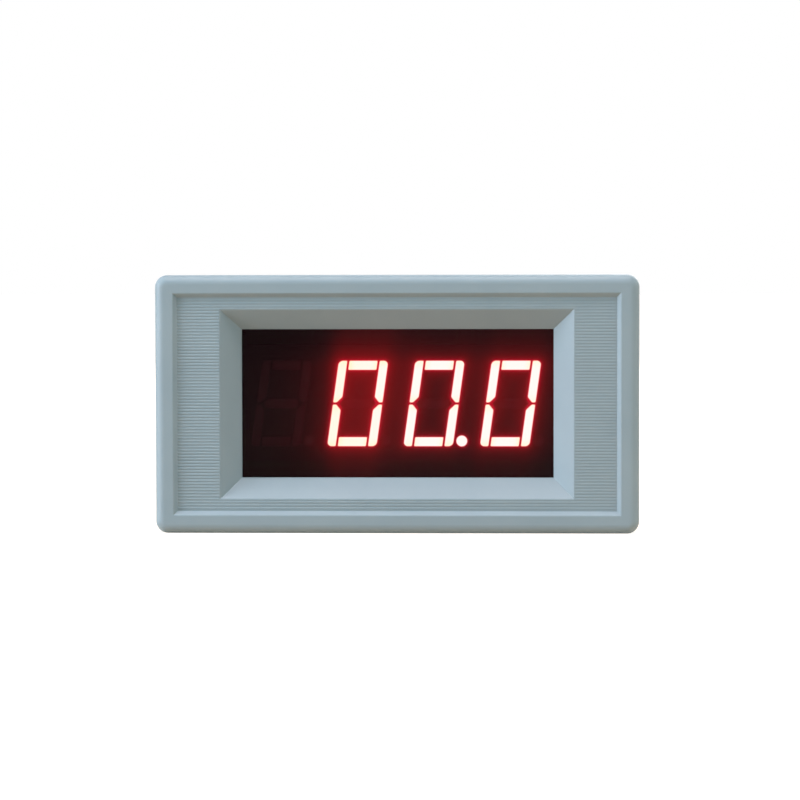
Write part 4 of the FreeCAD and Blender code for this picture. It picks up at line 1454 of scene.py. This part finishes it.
@dataclass(frozen=True)
class PhotoCamera:
    """Camera of the photograph: half a metre away, a little to the right and a little above."""

    target: tuple[float, float, float] = (0.283 * MM, 0.0, 0.432 * MM)
    distance: float = 0.5
    azimuth: float = math.radians(2.435)
    elevation: float = math.radians(2.374)
    roll: float = math.radians(-0.106)
    lens: float = 136.24
    sensor: float = 36.0
    nearest: float = 0.01

    def build(self) -> None:
        """Makes the camera and gives it to the scene."""
        back = Vector((math.sin(self.azimuth) * math.cos(self.elevation),
                       -math.cos(self.azimuth) * math.cos(self.elevation), math.sin(self.elevation)))
        right = Vector((0.0, 0.0, 1.0)).cross(back).normalized()
        up = back.cross(right)
        turned = math.cos(self.roll) * right + math.sin(self.roll) * up
        raised = -math.sin(self.roll) * right + math.cos(self.roll) * up
        data = bpy.data.cameras.new("photo camera")
        data.lens = self.lens
        data.sensor_width = self.sensor
        data.clip_start = self.nearest
        camera = add_object("photo camera", data)
        place = Vector(self.target) + back * self.distance
        camera.matrix_world = Matrix.Translation(place) @ Matrix((turned, raised, back)).transposed().to_4x4()
        bpy.context.scene.camera = camera


@dataclass(frozen=True)
class Lamp:
    """A soft area lamp that looks at the meter.

    Attributes:
        name: its name.
        towards: direction from the meter to the lamp.
        size: side of its square.
        level: what it adds to a white surface that faces it.
        colour: colour of its light.
        distance: how far it is.
    """

    name: str
    towards: tuple[float, float, float]
    size: float
    level: float
    colour: Rgb
    distance: float = 0.8

    def build(self) -> None:
        """Makes the lamp."""
        data = bpy.data.lights.new(self.name, "AREA")
        data.size = self.size
        data.energy = self.level * (math.pi * self.distance) ** 2
        data.color = self.colour
        away = Vector(self.towards).normalized()
        turned = away.to_track_quat("Z", "Y").to_matrix().to_4x4()
        add_object(self.name, data).matrix_world = Matrix.Translation(away * self.distance) @ turned


@dataclass(frozen=True)
class FloorPaint(Finish):
    """Warm paint of the floor, which is seen white, a little less so near the meter than far from it."""

    paint: tuple[Rgb, Rgb] = ((0.63, 0.48, 0.34), (0.61, 0.46, 0.32))
    white_from: Span = (0.1, 0.6)
    white: Span = (0.84, 0.98)
    patches: float = 3.0

    def shade(self, shader: Shader) -> None:
        """Fills the material's node tree."""
        patch = shader.noise(shader.place, self.patches)
        diffuse = shader.wire("BsdfDiffuse", {"Color": shader.blend(patch, *self.paint)})
        away = shader.wire("VectorMath", {0: shader.place}, "Value", operation="LENGTH")
        lifted = shader.seen() * shader.span(away, *self.white_from, *self.white)
        lift = shader.wire("Emission", {"Color": WHITE, "Strength": lifted})
        shader.put("OutputMaterial", {"Surface": shader.wire("AddShader", {0: diffuse, 1: lift})})


@dataclass(frozen=True)
class Studio:
    """Pale floor, white surroundings and soft light."""

    lamps: tuple[Lamp, ...] = (
        Lamp("top", (0.0, -0.25, 0.97), 0.45, 0.84, (1.0, 0.86, 0.86)),
        Lamp("left", (-0.93, -0.30, 0.20), 0.35, 0.9, (0.80, 0.87, 1.0)),
        Lamp("right", (0.93, -0.30, 0.20), 0.6, 0.37, (0.62, 0.92, 1.0)),
        Lamp("front", (-0.45, -0.60, 0.66), 0.6, 0.33, (0.20, 0.70, 1.0)),
        Lamp("back", (0.4, 0.8, 0.45), 0.6, 0.75, WHITE),
    )
    ambient: Rgb = (0.08, 0.08, 0.08)
    floor_reach: float = 6.0
    floor_start: float = 0.02
    floor_rings: int = 24
    floor_points: int = 48

    def build(self, lowest: float) -> None:
        """Makes the lamps, the surroundings and the floor.

        Args:
            lowest: Z of the object's lowest point, where the floor lies.
        """
        for lamp in self.lamps:
            lamp.build()
        self.surround()
        self.floor(lowest)
        LOG.info("studio built")

    def surround(self) -> None:
        """Makes surroundings that are seen white and that light the object at a plain level."""
        world = bpy.data.worlds.new("surroundings")
        world.use_nodes = True
        bpy.context.scene.world = world
        shader = Shader(world.node_tree)
        colour = shader.blend(shader.seen(), self.ambient, WHITE)
        background = shader.wire("Background", {"Color": colour, "Strength": 1.0})
        shader.put("OutputWorld", {"Surface": background})

    def floor(self, lowest: float) -> None:
        """Makes the floor: a round sheet whose rings widen as the square of their number.

        Args:
            lowest: Z of the floor.
        """
        radius = np.linspace(self.floor_start, 1.0, self.floor_rings)[:, None] ** 2 * self.floor_reach
        turn = np.linspace(0.0, math.tau, self.floor_points, endpoint=False)[None, :]
        across, along = radius * np.cos(turn), radius * np.sin(turn)
        rings = np.stack([across, along, np.full_like(across, lowest)], axis=-1)
        index = np.arange(across.size).reshape(across.shape)
        after = np.roll(index, -1, axis=1)
        quads = np.stack([index[:-1], index[1:], after[1:], after[:-1]], axis=-1).reshape(-1, 4)
        mesh = bpy.data.meshes.new("floor")
        mesh.from_pydata(rings.reshape(-1, 3).tolist(), [], quads.tolist() + [index[0].tolist()])
        mesh.materials.append(FloorPaint().material("pale floor"))
        add_object("floor", mesh)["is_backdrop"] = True


def main() -> None:
    """Builds the camera, the meter and the studio."""
    logging.basicConfig(level=logging.INFO, format="%(name)s: %(message)s")
    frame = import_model()
    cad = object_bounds()
    bpy.context.scene.view_settings.view_transform = "Standard"
    PhotoCamera().build()
    nodes = frame["nodes"]
    digits = DigitRow(nodes)
    for assembly in (digits, Enclosure(nodes, digits), BoardStack(nodes), TerminalBlock(nodes)):
        assembly.build()
    Studio().build(cad[0].z)


if __name__ == "__main__":
    main()
